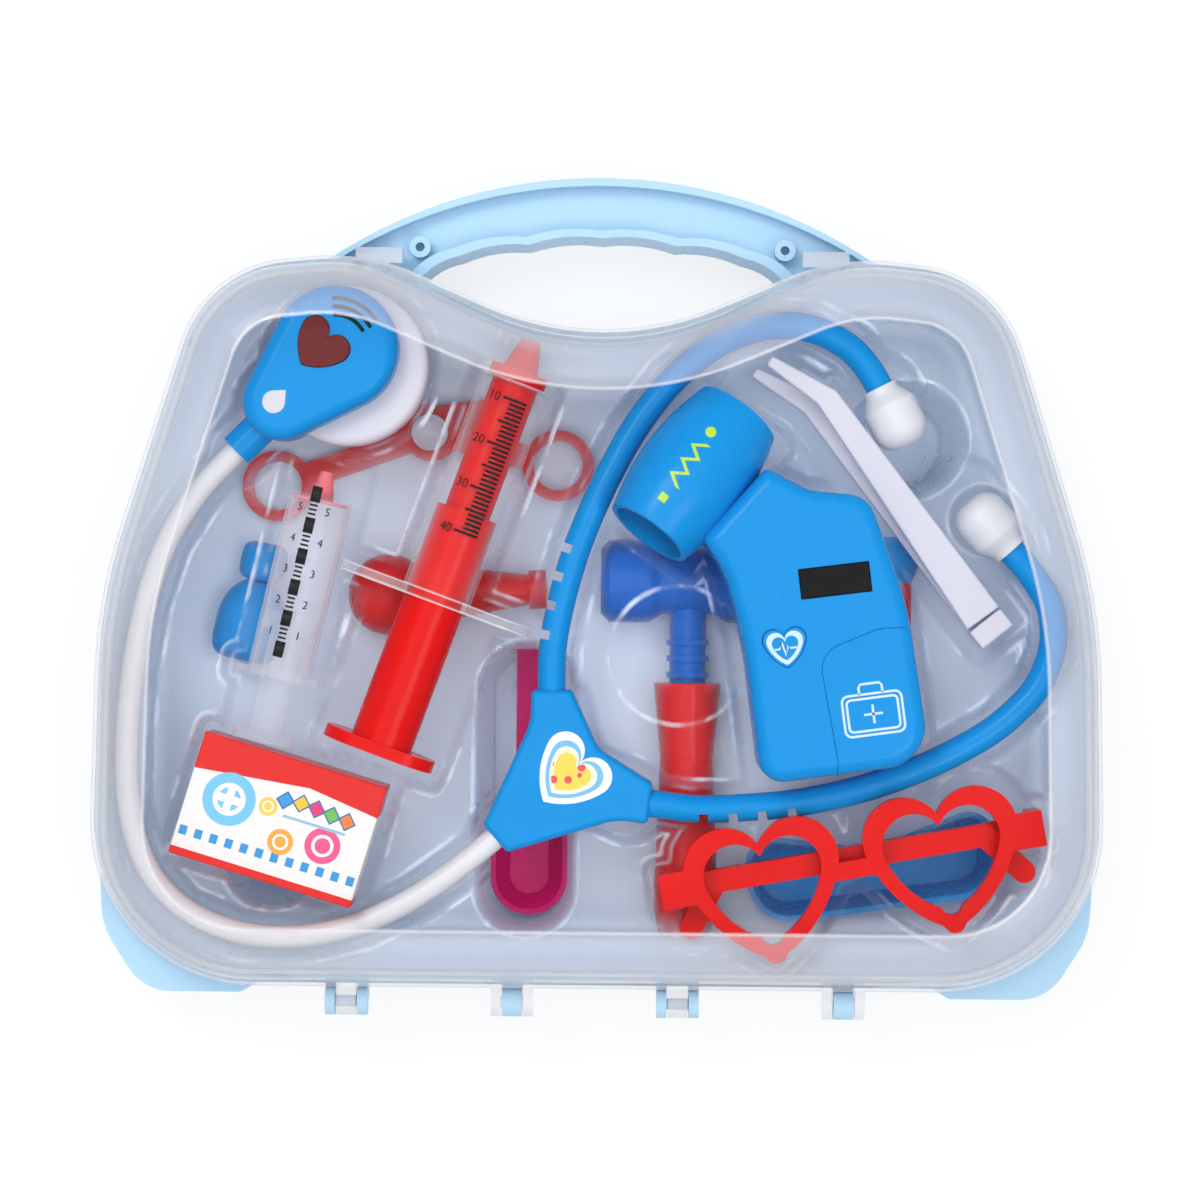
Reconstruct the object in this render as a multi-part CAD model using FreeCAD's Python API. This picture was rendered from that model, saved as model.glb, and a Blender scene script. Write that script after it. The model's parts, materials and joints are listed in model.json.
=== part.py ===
import FreeCAD
import Part
import math
import os

# Toy doctor case lying on its back: X to the right, Y towards the handle,
# Z up through the clear lid. The origin is under the middle of the case.
# Sizes are in millimetres, angles in degrees.

# Case body and lid
case_half_width = 142.5
body_top = 95.5
body_bottom = 110.0
base_depth = 34.0
lid_depth = 32.0
dip_radius = 105.0
hump_radius = 60.0
shoulder_radius = 34.0
side_radius = 150.0
corner_radius = 46.0
base_inset = 0.8
base_wall = 2.2
base_floor = 2.0
base_round_radius = 5.0
tub_wall = 4.4
ledge_width = 8.5
ledge_thick = 2.0
ledge_height = 27.2
lid_wall = 1.6
lid_rim = 2.4
lid_flange = 2.0
lid_straight = 8.0
lid_round_width = 16.0
lid_round_steps = 5
base_round_steps = 3
dip_shares = (0.0, 0.704)
hump_shares = (0.463, 1.0)
shoulder_shares = (0.779, 0.953)
side_shares = (0.9845, -0.021)
overrun = 1.0
level_play = 0.2

# Handle
handle_top = 118.1
handle_foot_x = 80.4
handle_foot_y = 92.3
handle_root_y = 84.0
handle_depth = 24.0
handle_wall = 2.2
handle_channel_depth = 6.0
handle_web = 2.4
hand_half_width = 52.0
hand_end_y = 88.5
hand_rise = 12.5
finger_sag = 1.3
grip_shares = ((1.0, 0.0), (0.77, 0.58), (0.40, 0.84), (0.0, 1.0),
               (-0.40, 0.84), (-0.77, 0.58), (-1.0, 0.0))
boss_x = 51.7
boss_y = 98.2
boss_radius = 3.0
boss_bore = 1.3
boss_height = 5.0

# Feet at the lower corners
foot_height = 28.0
foot_wall = 2.2
foot_shares = ((0.650, -0.985), (0.700, -1.025), (0.893, -1.025),
               (0.975, -0.860), (0.982, -0.700), (0.700, -0.720))
foot_radii = (3.0, 3.0, 14.0, 20.0, 4.0, 4.0)

# Hinge along the lower edge
hinge_drop = 114.2
hinge_radius = 3.9
hinge_pin_radius = 1.5
hinge_pin_play = 0.08
hinge_spacing = 46.3
hinge_width = 11.8
hinge_ear = 2.8
hinge_side_play = 0.3
hinge_arm_depth = 7.0
hinge_index_shares = (-1.5, -0.5, 0.5, 1.5)

# Catch tongues of the lid beside the handle
catch_share = 0.4386
catch_width = 13.0
catch_thick = 1.6
catch_length = 12.0
catch_gap = 0.8

# Backing card and clear tray
card_thick = 0.6
card_gap = 0.4
tray_gap = 0.5
tray_thick = 0.8
seat_gap = 0.2
pocket_floor_gap = 0.2
long_pocket_width = 29.0
long_pocket_length = 84.0
long_pocket_shares = (-0.140, -0.462)
round_pocket_places = ((0.606, 0.377), (-0.640, -0.640))
round_pocket_radii = (17.0, 14.0)
recess_radius = 10.5
recess_depth = 3.6

# Stethoscope
line_height = 4.9
tube_radius = 3.25
plug_gap = 0.15
plug_depth = 8.0
tube_route = ((-113.4, 27.3), (-121.6, 14.0), (-127.2, -3.0), (-130.6, -22.0), (-132.2, -42.0),
              (-131.6, -61.0), (-126.6, -78.0), (-115.4, -90.0), (-99.6, -96.2), (-82.4, -97.0),
              (-66.0, -93.0), (-51.0, -85.8))
tube_lead = 10.0
tube_plug = 6.0
run_share = 0.45
chest_shares = (-0.4975, 0.538)
chest_turn = 225.0
chest_radius = 22.5
chest_height = 9.0
chest_wall = 1.6
chest_edge = 2.4
plate_thick = 1.6
plate_gap = 0.2
cover_shift_x = -1.0
cover_shift_y = -4.95
cover_radius = 17.4
cover_tail_radius = 10.8
cover_tail_reach = 21.0
cover_height = 10.0
cover_edge = 4.0
neck_radius = 4.9
neck_reach = 40.0
neck_start_length = 24.0
heart_width = 15.0
heart_height = 13.0
heart_turn = 92.0
heart_shift_x = 3.3
heart_shift_y = -3.2
heart_proud = 0.7
heart_lip = 1.3
heart_lip_thick = 1.2
button_gap = 0.25
button_travel = 1.0
stem_radius = 2.4
drop_width = 6.4
drop_height = 8.0
drop_shift_x = 22.6
drop_shift_y = -1.0
drop_proud = 0.3
slot_count = 3
slot_width = 1.1
slot_spacing = 2.3
slot_first_radius = 9.0
slot_sweep = 64.0
slot_turn = 196.0
board_radius = 12.0
board_thick = 1.2
speaker_radius = 8.0
speaker_thick = 3.4
cell_radius = 3.95
cell_thick = 3.6
cell_ring_radius = 14.6
cell_count = 3
screw_radius = 1.2
screw_head_radius = 2.2
screw_head_thick = 1.0
screw_ring_radius = 17.4
screw_boss_radius = 2.4
screw_gap = 0.05
junction_shares = (-0.0568, -0.4263)
junction_turn = 41.5
junction_neck_reach = 27.0
junction_neck_half_width = 5.1
junction_arm_x = 12.1
junction_arm_y = 21.1
junction_arm_half_width = 5.7
junction_arm_turn = 48.6
junction_crotch_length = 11.2
junction_edge = 1.8
junction_corner = 1.6
junction_crotch_radius = 9.0
junction_sleeve_length = 9.0
junction_sleeve_radius = 16.0
label_width = 20.6
label_height = 20.0
label_thick = 0.3
label_turn = -43.0
arm_radius = 3.9
arm_lead = 12.0
arm_lead_in = 6.0
upper_arm_shares = ((-0.0725, -0.004), (-0.0435, 0.119), (0.0015, 0.250), (0.063, 0.394),
                    (0.137, 0.513), (0.224, 0.602), (0.3225, 0.648), (0.4175, 0.641),
                    (0.491, 0.594), (0.532, 0.536), (0.560, 0.470))
right_arm_shares = ((0.246, -0.504), (0.394, -0.490), (0.533, -0.451), (0.665, -0.390),
                    (0.784, -0.309), (0.866, -0.212), (0.897, -0.110), (0.891, -0.013),
                    (0.848, 0.066), (0.790, 0.142))
comb_count = 4
comb_width = 2.6
comb_depth = 2.6
comb_spacing = 8.2
comb_first_length = 21.0
tip_length = 14.0
tip_radius = 7.8
tip_neck_radius = 4.95
tip_collar_length = 1.6
tip_bore_depth = 4.0
tip_end_radius = 3.4
tip_crown = 1.5
bell_shares = (0.14, 0.52)

# Syringe
syringe_shares = (-0.3165, 0.001)
syringe_turn = 70.1
barrel_radius = 10.0
barrel_wall = 0.9
barrel_length = 62.6
barrel_end_thick = 1.2
wing_length = 56.0
wing_thick = 2.8
core_radius = 6.6
core_rear = 12.0
nozzle_step_radius = 8.2
nozzle_step = 3.5
nozzle_length = 12.5
nozzle_tip_radius = 2.8
nozzle_root_radius = 5.2
plunger_front = 24.0
plunger_gap = 0.35
plunger_bore_gap = 0.5
thumb_reach = 44.3
thumb_length = 32.0
thumb_thick = 3.4

# Dropper
dropper_shares = (-0.624, -0.186)
dropper_turn = 77.0
dropper_radius = 9.0
dropper_wall = 0.9
dropper_length = 50.0
dropper_wing_length = 25.0
dropper_wing_thick = 2.2
dropper_rod_radius = 5.0
dropper_piston_radius = 7.8
dropper_piston_thick = 5.0
dropper_rod_front = 16.0
dropper_thumb_reach = 17.5
dropper_thumb_radius = 8.6
dropper_thumb_thick = 2.6
dropper_tip_length = 7.0
dropper_tip_radius = 3.4

# Medicine carton
carton_shares = (-0.620, -0.534)
carton_turn = -16.7
carton_width = 52.6
carton_height = 35.0
carton_depth = 17.0
carton_wall = 0.7
flap_gap = 0.1
tuck_depth = 9.0

# Infrared thermometer
gun_shares = (0.4215, -0.081)
gun_width = 60.0
gun_height = 90.0
gun_depth = 28.0
gun_wall = 1.8
gun_edge = 4.0
gun_outline_shares = ((-0.242, 0.500), (-0.050, 0.433), (0.225, 0.417), (0.408, 0.089), (0.525, -0.394),
                      (-0.250, -0.467), (-0.333, -0.044), (-0.425, 0.178), (-0.533, 0.283))
gun_outline_radii = (2.0, 12.0, 8.0, 90.0, 12.0, 7.0, 120.0, 30.0, 2.0)
nose_shift_shares = (-0.572, 0.483)
nose_turn = 53.5
nose_tilt = 13.0
nose_rise = 2.0
nose_half_length = 21.2
nose_end_radius = 12.3
nose_belly = 3.2
nose_wall = 1.8
nose_end_wall = 2.4
lamp_radius = 2.5
lamp_length = 6.0
display_width = 19.6
display_height = 8.4
display_shift_shares = (0.073, 0.159)
display_turn = 7.3
display_thick = 1.5
display_proud = 0.3
key_width = 11.5
key_height = 10.5
key_shift_shares = (-0.150, -0.049)
key_turn = 8.0
key_proud = 0.6
key_lip = 1.2
door_gap = 0.15
door_shares = ((0.62, 0.016), (0.283, 0.016), (0.055, -0.049), (0.013, -0.099), (0.097, -0.391),
               (0.08, -0.60), (0.62, -0.60))
door_radii = (2.0, 14.0, 6.0, 8.0, 3.0, 2.0, 2.0)
gun_board_width = 30.0
gun_board_height = 20.0
gun_board_shift_shares = (-0.02, -0.015)
gun_post_radius = 2.6
gun_post_spread = 22.0
gun_cell_radius = 5.8
gun_cell_thick = 5.4
gun_cell_shift_shares = (0.16, -0.262)
gun_cell_spacing = 12.6
gun_screw_shares = ((-0.12, -0.37), (0.06, 0.32), (-0.22, 0.13))
gun_screw_length = 15.0

# Tweezers
tweezers_shares = (0.758, -0.050)
tweezers_turn = 129.0
tweezers_block_length = 6.0
tweezers_bend_length = 77.0
tweezers_tip_length = 19.0
tweezers_tip_turn = 22.0
tweezers_root_width = 11.0
tweezers_bend_width = 6.4
tweezers_tip_width = 3.0
tweezers_thick = 2.4
tweezers_root_gap = 2.0
tweezers_joint_gap = 0.9
tweezers_rise_turn = 6.0
tweezers_splay_turn = 2.6

# Glasses
glasses_shares = (0.506, -0.659)
glasses_turn = 10.3
rim_width = 43.0
rim_height = 41.0
rim_bar = 5.2
rim_tip_radius = 3.0
rim_notch_share = 0.34
rim_lobe_share = 0.43
rim_thick = 4.5
rim_spacing = 50.4
rim_lift = 9.2
bridge_width = 5.0
bridge_lift = 2.5
end_piece_half_width = 54.0
end_piece_height = 10.0
end_piece_thick = 3.6
end_piece_lift = 5.0
temple_thick = 2.8
temple_width = 6.4
temple_length = 92.0
temple_tip_length = 15.0
temple_tip_turn = 52.0
temple_gap = 0.4
glasses_pin_radius = 0.9
glasses_pin_gap = 0.05

# Reflex hammer under the tray
hammer_shares = (0.179, 0.036)
hammer_head_radius = 11.8
hammer_head_half_length = 25.0
hammer_head_waist = 9.4
hammer_face_chamfer = 2.4
hammer_neck_radius = 5.2
hammer_neck_length = 29.0
hammer_handle_radius = 9.6
hammer_waist_radius = 7.6
hammer_handle_length = 72.0
hammer_grip_radius = 9.2
hammer_ring_count = 3
hammer_ring_spacing = 4.6
hammer_ring_width = 1.6
hammer_ring_rise = 0.9
head_flat_share = 0.46
head_waist_share = 0.30
grip_waist_share = 0.30
spigot_radius = 3.4
handle_turn = -90.0

# Scissors under the tray
scissors_shares = (-0.344, 0.392)
scissors_left_turn = 199.6
scissors_right_turn = -13.9
scissors_left_reach = 46.6
scissors_right_reach = 38.0
scissors_ring_radius = 10.2
scissors_ring_hole = 7.0
scissors_arm_half_width = 3.6
scissors_hub_radius = 8.0
scissors_blade_length = 30.0
scissors_thick = 3.2
scissors_stack_gap = 0.3
rivet_radius = 2.4
rivet_head_radius = 5.2
rivet_head_thick = 1.4
rivet_play = 0.08
blade_tip_share = 0.4

# Other pieces under the tray
bulb_shares = (-0.421, -0.003)
bulb_turn = 2.5
bulb_radius = 11.6
bulb_reach = 40.0
bulb_neck_radius = 4.4
bulb_collar_radius = 5.6
bulb_collar_length = 5.0
bulb_wall = 1.8
bulb_shoulder_turn = 53.0
bottle_shares = (-0.716, -0.165)
bottle_turn = 78.0
bottle_radius = 9.8
bottle_length = 19.0
bottle_shoulder = 4.0
bottle_neck_radius = 5.0
bottle_neck_length = 9.0
bottle_wall = 1.4
cap_radius = 6.6
cap_length = 11.0
cap_gap = 0.15
dish_shares = (0.552, -0.640)
dish_turn = 8.0
dish_length = 72.0
dish_width = 27.0
dish_height = 14.0
dish_wall = 1.6
dish_slope = 3.0
dish_outline_shares = ((-0.5, -0.5), (0.5, -0.5), (0.5, 0.5), (0.0, 0.16), (-0.5, 0.5))
dish_radii = (12.0, 12.0, 8.0, 26.0, 8.0)
otoscope_shares = (0.5755, -0.4025)
otoscope_turn = 90.0
otoscope_radius = 7.4
otoscope_length = 52.0
otoscope_head_radius = 9.6
otoscope_head_length = 13.0
otoscope_cone_length = 12.0
otoscope_cone_radius = 2.6
otoscope_joint_length = 5.0
otoscope_joint_gap = 0.15
spoon_shares = (-0.135, -0.640)
spoon_bowl_length = 32.0
spoon_bowl_width = 22.0
spoon_bowl_depth = 8.0
spoon_wall = 1.5
spoon_slope = 4.0
spoon_handle_length = 44.0
spoon_handle_width = 8.0
spoon_handle_thick = 3.0

# Outline shares shared by every heart in the set
heart_notch_share = 0.27
heart_side_share = 0.14
heart_lobe_share = 0.55
heart_flank_share = 0.10
blunt_sag_share = 0.75
corner_limit_share = 0.49

V = FreeCAD.Vector
UP = V(0, 0, 1)

seat = ledge_height + tray_thick + seat_gap
floor_seat = base_floor + card_thick + seat_gap
line_z = seat + line_height


def spot(shares):
    """Place in the case, from shares of its half width and of the handle's height."""
    return V(shares[0] * case_half_width, shares[1] * handle_top, 0)


def put(shape, place, turn=0.0):
    """Turn a piece about Z and set it down at a place in the case."""
    moved = shape.copy()
    moved.Placement = FreeCAD.Placement(place, FreeCAD.Rotation(UP, turn)).multiply(moved.Placement)
    return moved


def polar(reach, turn):
    return V(reach * math.cos(math.radians(turn)), reach * math.sin(math.radians(turn)), 0)


def rounded(points, radii, z=0.0, inset=0.0):
    """Closed wire of a counter-clockwise polygon, inset, with every corner an arc."""
    count = len(points)
    normals = []
    for i in range(count):
        edge = (points[(i + 1) % count] - points[i]).normalize()
        normals.append(V(-edge.y, edge.x, 0))
    corners = []
    for i in range(count):
        before, after = normals[i - 1], normals[i]
        corners.append(points[i] + (before + after) * (inset / (1 + before.dot(after))))
    starts, middles, ends = [], [], []
    for i in range(count):
        corner = corners[i]
        back = corners[i - 1] - corner
        ahead = corners[(i + 1) % count] - corner
        limit = corner_limit_share * min(back.Length, ahead.Length)
        back.normalize()
        ahead.normalize()
        hollow = normals[i - 1].cross(normals[i]).z < 0
        radius = radii[i] + inset if hollow else radii[i] - inset
        half = math.acos(back.dot(ahead)) / 2
        reach = min(radius / math.tan(half), limit)
        radius = reach * math.tan(half)
        bisector = (back + ahead).normalize()
        starts.append(corner + back * reach)
        ends.append(corner + ahead * reach)
        middles.append(corner + bisector * (radius / math.sin(half) - radius))
    edges = []
    for i in range(count):
        edges.append(Part.Arc(starts[i], middles[i], ends[i]).toShape())
        edges.append(Part.makeLine(ends[i], starts[(i + 1) % count]))
    wire = Part.Wire(edges)
    wire.translate(V(0, 0, z))
    return wire


def prism(wire, low, high):
    """Upright solid of a flat outline drawn at height zero."""
    face = Part.Face(wire)
    face.translate(V(0, 0, low))
    return face.extrude(V(0, 0, high - low))


def disc(radius, low, high, x=0.0, y=0.0):
    return Part.makeCylinder(radius, high - low, V(x, y, low), UP)


def block(x0, x1, y0, y1, z0, z1):
    return Part.makeBox(x1 - x0, y1 - y0, z1 - z0, V(x0, y0, z0))


def bent(start, end, sag):
    """Edge from start to end: an arc that bulges to the right by sag, or a line."""
    if sag == 0:
        return Part.makeLine(start, end)
    along = end - start
    side = V(along.y, -along.x, 0).normalize()
    return Part.Arc(start, (start + end) * 0.5 + side * sag, end).toShape()


def heart(width, height, notch_share=heart_notch_share, lobe_share=heart_lobe_share, blunt=0.0):
    """Heart outline with two round lobes and a sharp or blunt tip towards -Y."""
    notch = V(0, notch_share * height, 0)
    right = V(width / 2, heart_side_share * height, 0)
    left = V(-width / 2, heart_side_share * height, 0)
    low = blunt - height / 2
    tip_left, tip_right = V(-blunt, low, 0), V(blunt, low, 0)
    lobe = lobe_share * (right - notch).Length
    flank = heart_flank_share * (tip_right - right).Length
    edges = [bent(notch, left, lobe), bent(left, tip_left, flank)]
    if blunt:
        edges.append(bent(tip_left, tip_right, blunt * blunt_sag_share))
    edges.extend([bent(tip_right, right, flank), bent(right, notch, lobe)])
    return Part.Wire(edges)


def lathe(points, z):
    """Solid of revolution about the local X axis at height z, from (x, radius, sag) points."""
    places = [V(p[0], p[1], 0) for p in points]
    edges = []
    for i in range(1, len(points)):
        sag = points[i][2] if len(points[i]) > 2 else 0.0
        edges.append(bent(places[i], places[i - 1], sag))
    edges.append(Part.makeLine(places[-1], places[0]))
    turned = Part.Face(Part.Wire(Part.__sortEdges__(edges))).revolve(V(0, 0, 0), V(1, 0, 0), 360)
    turned.translate(V(0, 0, z))
    return turned


def stadium(span, height, x0, x1, z):
    """Round-ended plate across the local X axis, span along Y and height along Z."""
    radius = height / 2
    reach = span / 2 - radius
    plate = block(x0, x1, -reach, reach, z - radius, z + radius)
    for side in (-1, 1):
        end = Part.makeCylinder(radius, x1 - x0, V(x0, side * reach, z), V(1, 0, 0))
        plate = plate.fuse(end)
    return plate.removeSplitter()


def route(points, z):
    """Wire of straight runs joined by arcs as large as the runs allow, with the arc radii."""
    places = [V(p[0], p[1], z) for p in points]
    edges, radii = [], []
    last = places[0]
    for i in range(1, len(places) - 1):
        back = places[i - 1] - places[i]
        ahead = places[i + 1] - places[i]
        reach = run_share * min(back.Length, ahead.Length)
        back.normalize()
        ahead.normalize()
        half = math.acos(back.dot(ahead)) / 2
        radius = reach * math.tan(half)
        radii.append(radius)
        start = places[i] + back * reach
        end = places[i] + ahead * reach
        middle = places[i] + (back + ahead).normalize() * (radius / math.sin(half) - radius)
        edges.append(Part.makeLine(last, start))
        edges.append(Part.Arc(start, middle, end).toShape())
        last = end
    edges.append(Part.makeLine(last, places[-1]))
    return Part.Wire(edges), radii


def tube(points, radius, z):
    """Round bar along a route at height z."""
    path, radii = route(points, z)
    first = V(points[1][0] - points[0][0], points[1][1] - points[0][1], 0)
    ring = Part.Wire(Part.makeCircle(radius, V(points[0][0], points[0][1], z), first))
    return path.makePipeShell([ring], True, False), radii, path.Length


def top_edges(shape, z):
    found = []
    for edge in shape.Edges:
        box = edge.BoundBox
        if abs(box.ZMin - z) < level_play and abs(box.ZMax - z) < level_play:
            found.append(edge)
    return found


def rounded_top(shape, radius, z):
    return shape.makeFillet(radius, top_edges(shape, z))


# Outline of the case, counter-clockwise from the dip under the handle
def case_points():
    right = []
    for shares in (hump_shares, shoulder_shares, side_shares):
        right.append(V(shares[0] * case_half_width, shares[1] * body_top, 0))
    right.append(V(case_half_width, -body_bottom, 0))
    left = [V(-p.x, p.y, 0) for p in right]
    dip = V(dip_shares[0], dip_shares[1] * body_top, 0)
    return [dip] + left + right[::-1]


def case_wire(inset, z=0.0):
    side = [hump_radius, shoulder_radius, side_radius, corner_radius]
    return rounded(case_points(), [dip_radius] + side + side[::-1], z, inset)


def dome(sections):
    """Ruled solid through case outlines given as (inset, height)."""
    return Part.makeLoft([case_wire(inset, z) for inset, z in sections], True, True)


def rounded_sections(inset, width, z_edge, z_end, steps):
    """Quarter-ellipse steps from an upright wall to a flat face."""
    sections = []
    for k in range(steps + 1):
        turn = math.radians(90 * k / steps)
        sections.append((inset + width * (1 - math.cos(turn)), z_edge + (z_end - z_edge) * math.sin(turn)))
    return sections


def handle_wire(inset):
    """Outline of the arched handle with finger hollows, inset."""
    crown = handle_top - inset
    foot_x = handle_foot_x - inset
    foot = V(foot_x, handle_foot_y, 0)
    far = V(-foot_x, handle_foot_y, 0)
    edges = [Part.Arc(foot, V(0, crown, 0), far).toShape()]
    grip = []
    for shares in grip_shares:
        spread = hand_half_width + inset
        grip.append(V(-shares[0] * spread, hand_end_y + inset + shares[1] * hand_rise, 0))
    low_left = V(far.x, handle_root_y, 0)
    low_right = V(foot.x, handle_root_y, 0)
    edges.append(Part.makeLine(far, low_left))
    edges.append(Part.makeLine(low_left, V(grip[0].x, handle_root_y, 0)))
    edges.append(Part.makeLine(V(grip[0].x, handle_root_y, 0), grip[0]))
    for start, end in zip(grip, grip[1:]):
        edges.append(bent(start, end, -finger_sag))
    edges.append(Part.makeLine(grip[-1], V(grip[-1].x, handle_root_y, 0)))
    edges.append(Part.makeLine(V(grip[-1].x, handle_root_y, 0), low_right))
    edges.append(Part.makeLine(low_right, foot))
    return Part.Wire(edges)


def foot_wire(side, inset):
    points = [V(side * s[0] * case_half_width, s[1] * body_bottom, 0) for s in foot_shares]
    radii = list(foot_radii)
    if side > 0:
        return rounded(points, radii, 0.0, inset)
    return rounded(points[::-1], radii[::-1], 0.0, inset)


def knuckle(x0, x1, reach, z0, z1):
    """One hinge ear or tongue: a round eye and the arm that carries it."""
    eye = Part.makeCylinder(hinge_radius, x1 - x0, V(x0, -hinge_drop, base_depth), V(1, 0, 0))
    arm = block(x0, x1, -hinge_drop, -reach, z0, z1)
    return eye.fuse(arm).removeSplitter()


def hinge_half(ear_parity, reach, z0, z1):
    """Knuckles of one hinge half, with pins on its ears and bores through its tongues."""
    half = hinge_width / 2
    tongue = half - hinge_ear - hinge_side_play
    solids, bores = [], []
    for i, share in enumerate(hinge_index_shares):
        x = share * hinge_spacing
        if i % 2 == ear_parity:
            solids.append(knuckle(x - half, x - half + hinge_ear, reach, z0, z1))
            solids.append(knuckle(x + half - hinge_ear, x + half, reach, z0, z1))
            pin = Part.makeCylinder(hinge_pin_radius, hinge_width, V(x - half, -hinge_drop, base_depth),
                                    V(1, 0, 0))
            solids.append(pin)
        else:
            solids.append(knuckle(x - tongue, x + tongue, reach, z0, z1))
            bore_radius = hinge_pin_radius + hinge_pin_play
            bores.append(Part.makeCylinder(bore_radius, hinge_width, V(x - half, -hinge_drop, base_depth),
                                           V(1, 0, 0)))
    return solids, bores


def back_shell():
    outer = dome(rounded_sections(base_inset, base_round_radius, base_round_radius, 0.0,
                                  base_round_steps)[::-1]
                 + [(base_inset, base_depth)])
    solids = [prism(handle_wire(0.0), 0.0, handle_depth)]
    for side in (-1, 1):
        solids.append(prism(foot_wire(side, 0.0), 0.0, foot_height))
    shell = outer.fuse(solids)
    body = prism(case_wire(base_inset), -overrun, base_depth + overrun)
    inner = base_inset + base_wall
    cuts = [prism(case_wire(inner), ledge_height, base_depth + overrun)]
    cuts.append(prism(case_wire(inner + ledge_width), base_floor, base_depth + overrun))
    cuts.append(prism(case_wire(base_inset + tub_wall), base_floor, ledge_height - ledge_thick))
    web_top = handle_depth - handle_channel_depth
    for low, high in ((web_top, handle_depth + overrun), (-overrun, web_top - handle_web)):
        cuts.append(prism(handle_wire(handle_wall), low, high).cut(body))
    for side in (-1, 1):
        cuts.append(prism(foot_wire(side, foot_wall), -overrun, foot_height - foot_wall).cut(body))
    shell = shell.cut(cuts)
    for side in (-1, 1):
        boss = disc(boss_radius, web_top, web_top + boss_height, side * boss_x, boss_y)
        bore = disc(boss_bore, web_top, web_top + boss_height + overrun, side * boss_x, boss_y)
        shell = shell.fuse(boss).cut(bore)
    reach = body_bottom - base_inset - base_wall / 2
    solids, bores = hinge_half(0, reach, base_depth - hinge_arm_depth, base_depth)
    return shell.fuse(solids).cut(bores).removeSplitter()


def lid():
    z_edge = base_depth + lid_straight
    top = base_depth + lid_depth
    outer = dome([(lid_rim, base_depth)] + rounded_sections(lid_rim, lid_round_width, z_edge, top,
                                                            lid_round_steps))
    inner = dome([(lid_rim + lid_wall, base_depth)]
                 + rounded_sections(lid_rim + lid_wall, lid_round_width, z_edge, top - lid_wall,
                                    lid_round_steps))
    flange = prism(case_wire(0.0), base_depth, base_depth + lid_flange)
    shell = outer.fuse(flange).cut(inner)
    catch_low = case_wire(0.0).BoundBox.YMax
    for side in (-1, 1):
        x = side * catch_share * case_half_width
        tongue = block(x - catch_width / 2, x + catch_width / 2, catch_low - lid_flange,
                       catch_low + catch_gap + catch_thick,
                       base_depth, base_depth + lid_flange)
        leg = block(x - catch_width / 2, x + catch_width / 2, catch_low + catch_gap,
                    catch_low + catch_gap + catch_thick,
                    base_depth - catch_length, base_depth)
        shell = shell.fuse([tongue, leg])
    reach = body_bottom - lid_rim - lid_wall / 2
    solids, bores = hinge_half(1, reach, base_depth, base_depth + hinge_radius)
    return shell.fuse(solids).cut(bores).removeSplitter()


def backing_card():
    inset = base_inset + tub_wall + card_gap
    return prism(case_wire(inset), base_floor, base_floor + card_thick)


def recess_place():
    """Middle of the hollow in the tray under the right ear tip."""
    end, before = spot(right_arm_shares[-1]), spot(right_arm_shares[-2])
    return end + (end - before).normalize() * (tip_length / 2)


def pockets(inset):
    """Outlines of the pockets, inset, each with the height of its underside."""
    low = base_floor + card_thick + pocket_floor_gap
    half = long_pocket_length / 2
    radius = long_pocket_width / 2
    corners = [V(-radius, -half, 0), V(radius, -half, 0), V(radius, half, 0), V(-radius, half, 0)]
    wire = rounded(corners, [radius] * len(corners), 0.0, inset)
    wire.translate(spot(long_pocket_shares))
    found = [(wire, low)]
    for shares, radius in zip(round_pocket_places, round_pocket_radii):
        found.append((Part.Wire(Part.makeCircle(radius - inset, spot(shares), UP)), low))
    shallow = Part.Wire(Part.makeCircle(recess_radius - inset, recess_place(), UP))
    found.append((shallow, ledge_height - recess_depth))
    return found


def blister_tray():
    top = ledge_height + tray_thick
    sheet = prism(case_wire(base_inset + base_wall + tray_gap), ledge_height, top)
    cups = [prism(wire, low, top) for wire, low in pockets(0.0)]
    hollows = [prism(wire, low + tray_thick, top + overrun) for wire, low in pockets(tray_thick)]
    return sheet.fuse(cups).cut(hollows).removeSplitter()


# Stethoscope pieces, drawn about the middle of the chest piece with its neck along +X
def cover_outline(inset):
    big = cover_radius - inset
    small = cover_tail_radius - inset
    turn = math.degrees(math.acos((big - small) / cover_tail_reach))
    tail = V(cover_tail_reach, 0, 0)
    first, last = polar(big, turn), polar(big, -turn)
    edges = [Part.Arc(first, V(-big, 0, 0), last).toShape()]
    edges.append(Part.makeLine(last, tail + polar(small, -turn)))
    edges.append(Part.Arc(tail + polar(small, -turn), tail + V(small, 0, 0),
                          tail + polar(small, turn)).toShape())
    edges.append(Part.makeLine(tail + polar(small, turn), first))
    return Part.Wire(edges)


def chest_screw_places():
    return [polar(screw_ring_radius, turn) for turn in (60.0, 180.0, 300.0)]


def cover_shift():
    return V(cover_shift_x, cover_shift_y, 0)


def chest_base():
    puck = rounded_top(disc(chest_radius, seat, seat + chest_height), chest_edge, seat + chest_height)
    puck = puck.cut(disc(chest_radius - chest_wall, seat - overrun, seat + chest_height - chest_wall))
    for place in chest_screw_places():
        puck = puck.fuse(disc(screw_boss_radius, seat + plate_thick, seat + chest_height - chest_wall,
                              place.x, place.y))
        puck = puck.cut(disc(screw_radius + screw_gap, seat, seat + chest_height - chest_wall, place.x,
                             place.y))
    return put(puck, spot(chest_shares), chest_turn)


def chest_back_plate():
    plate = disc(chest_radius - chest_wall - plate_gap, seat, seat + plate_thick)
    for place in chest_screw_places():
        plate = plate.cut(disc(screw_radius + screw_gap, seat - overrun, seat + plate_thick + overrun,
                               place.x, place.y))
        plate = plate.cut(disc(screw_head_radius + screw_gap, seat - overrun, seat + screw_head_thick,
                               place.x, place.y))
    return put(plate, spot(chest_shares), chest_turn)


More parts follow.
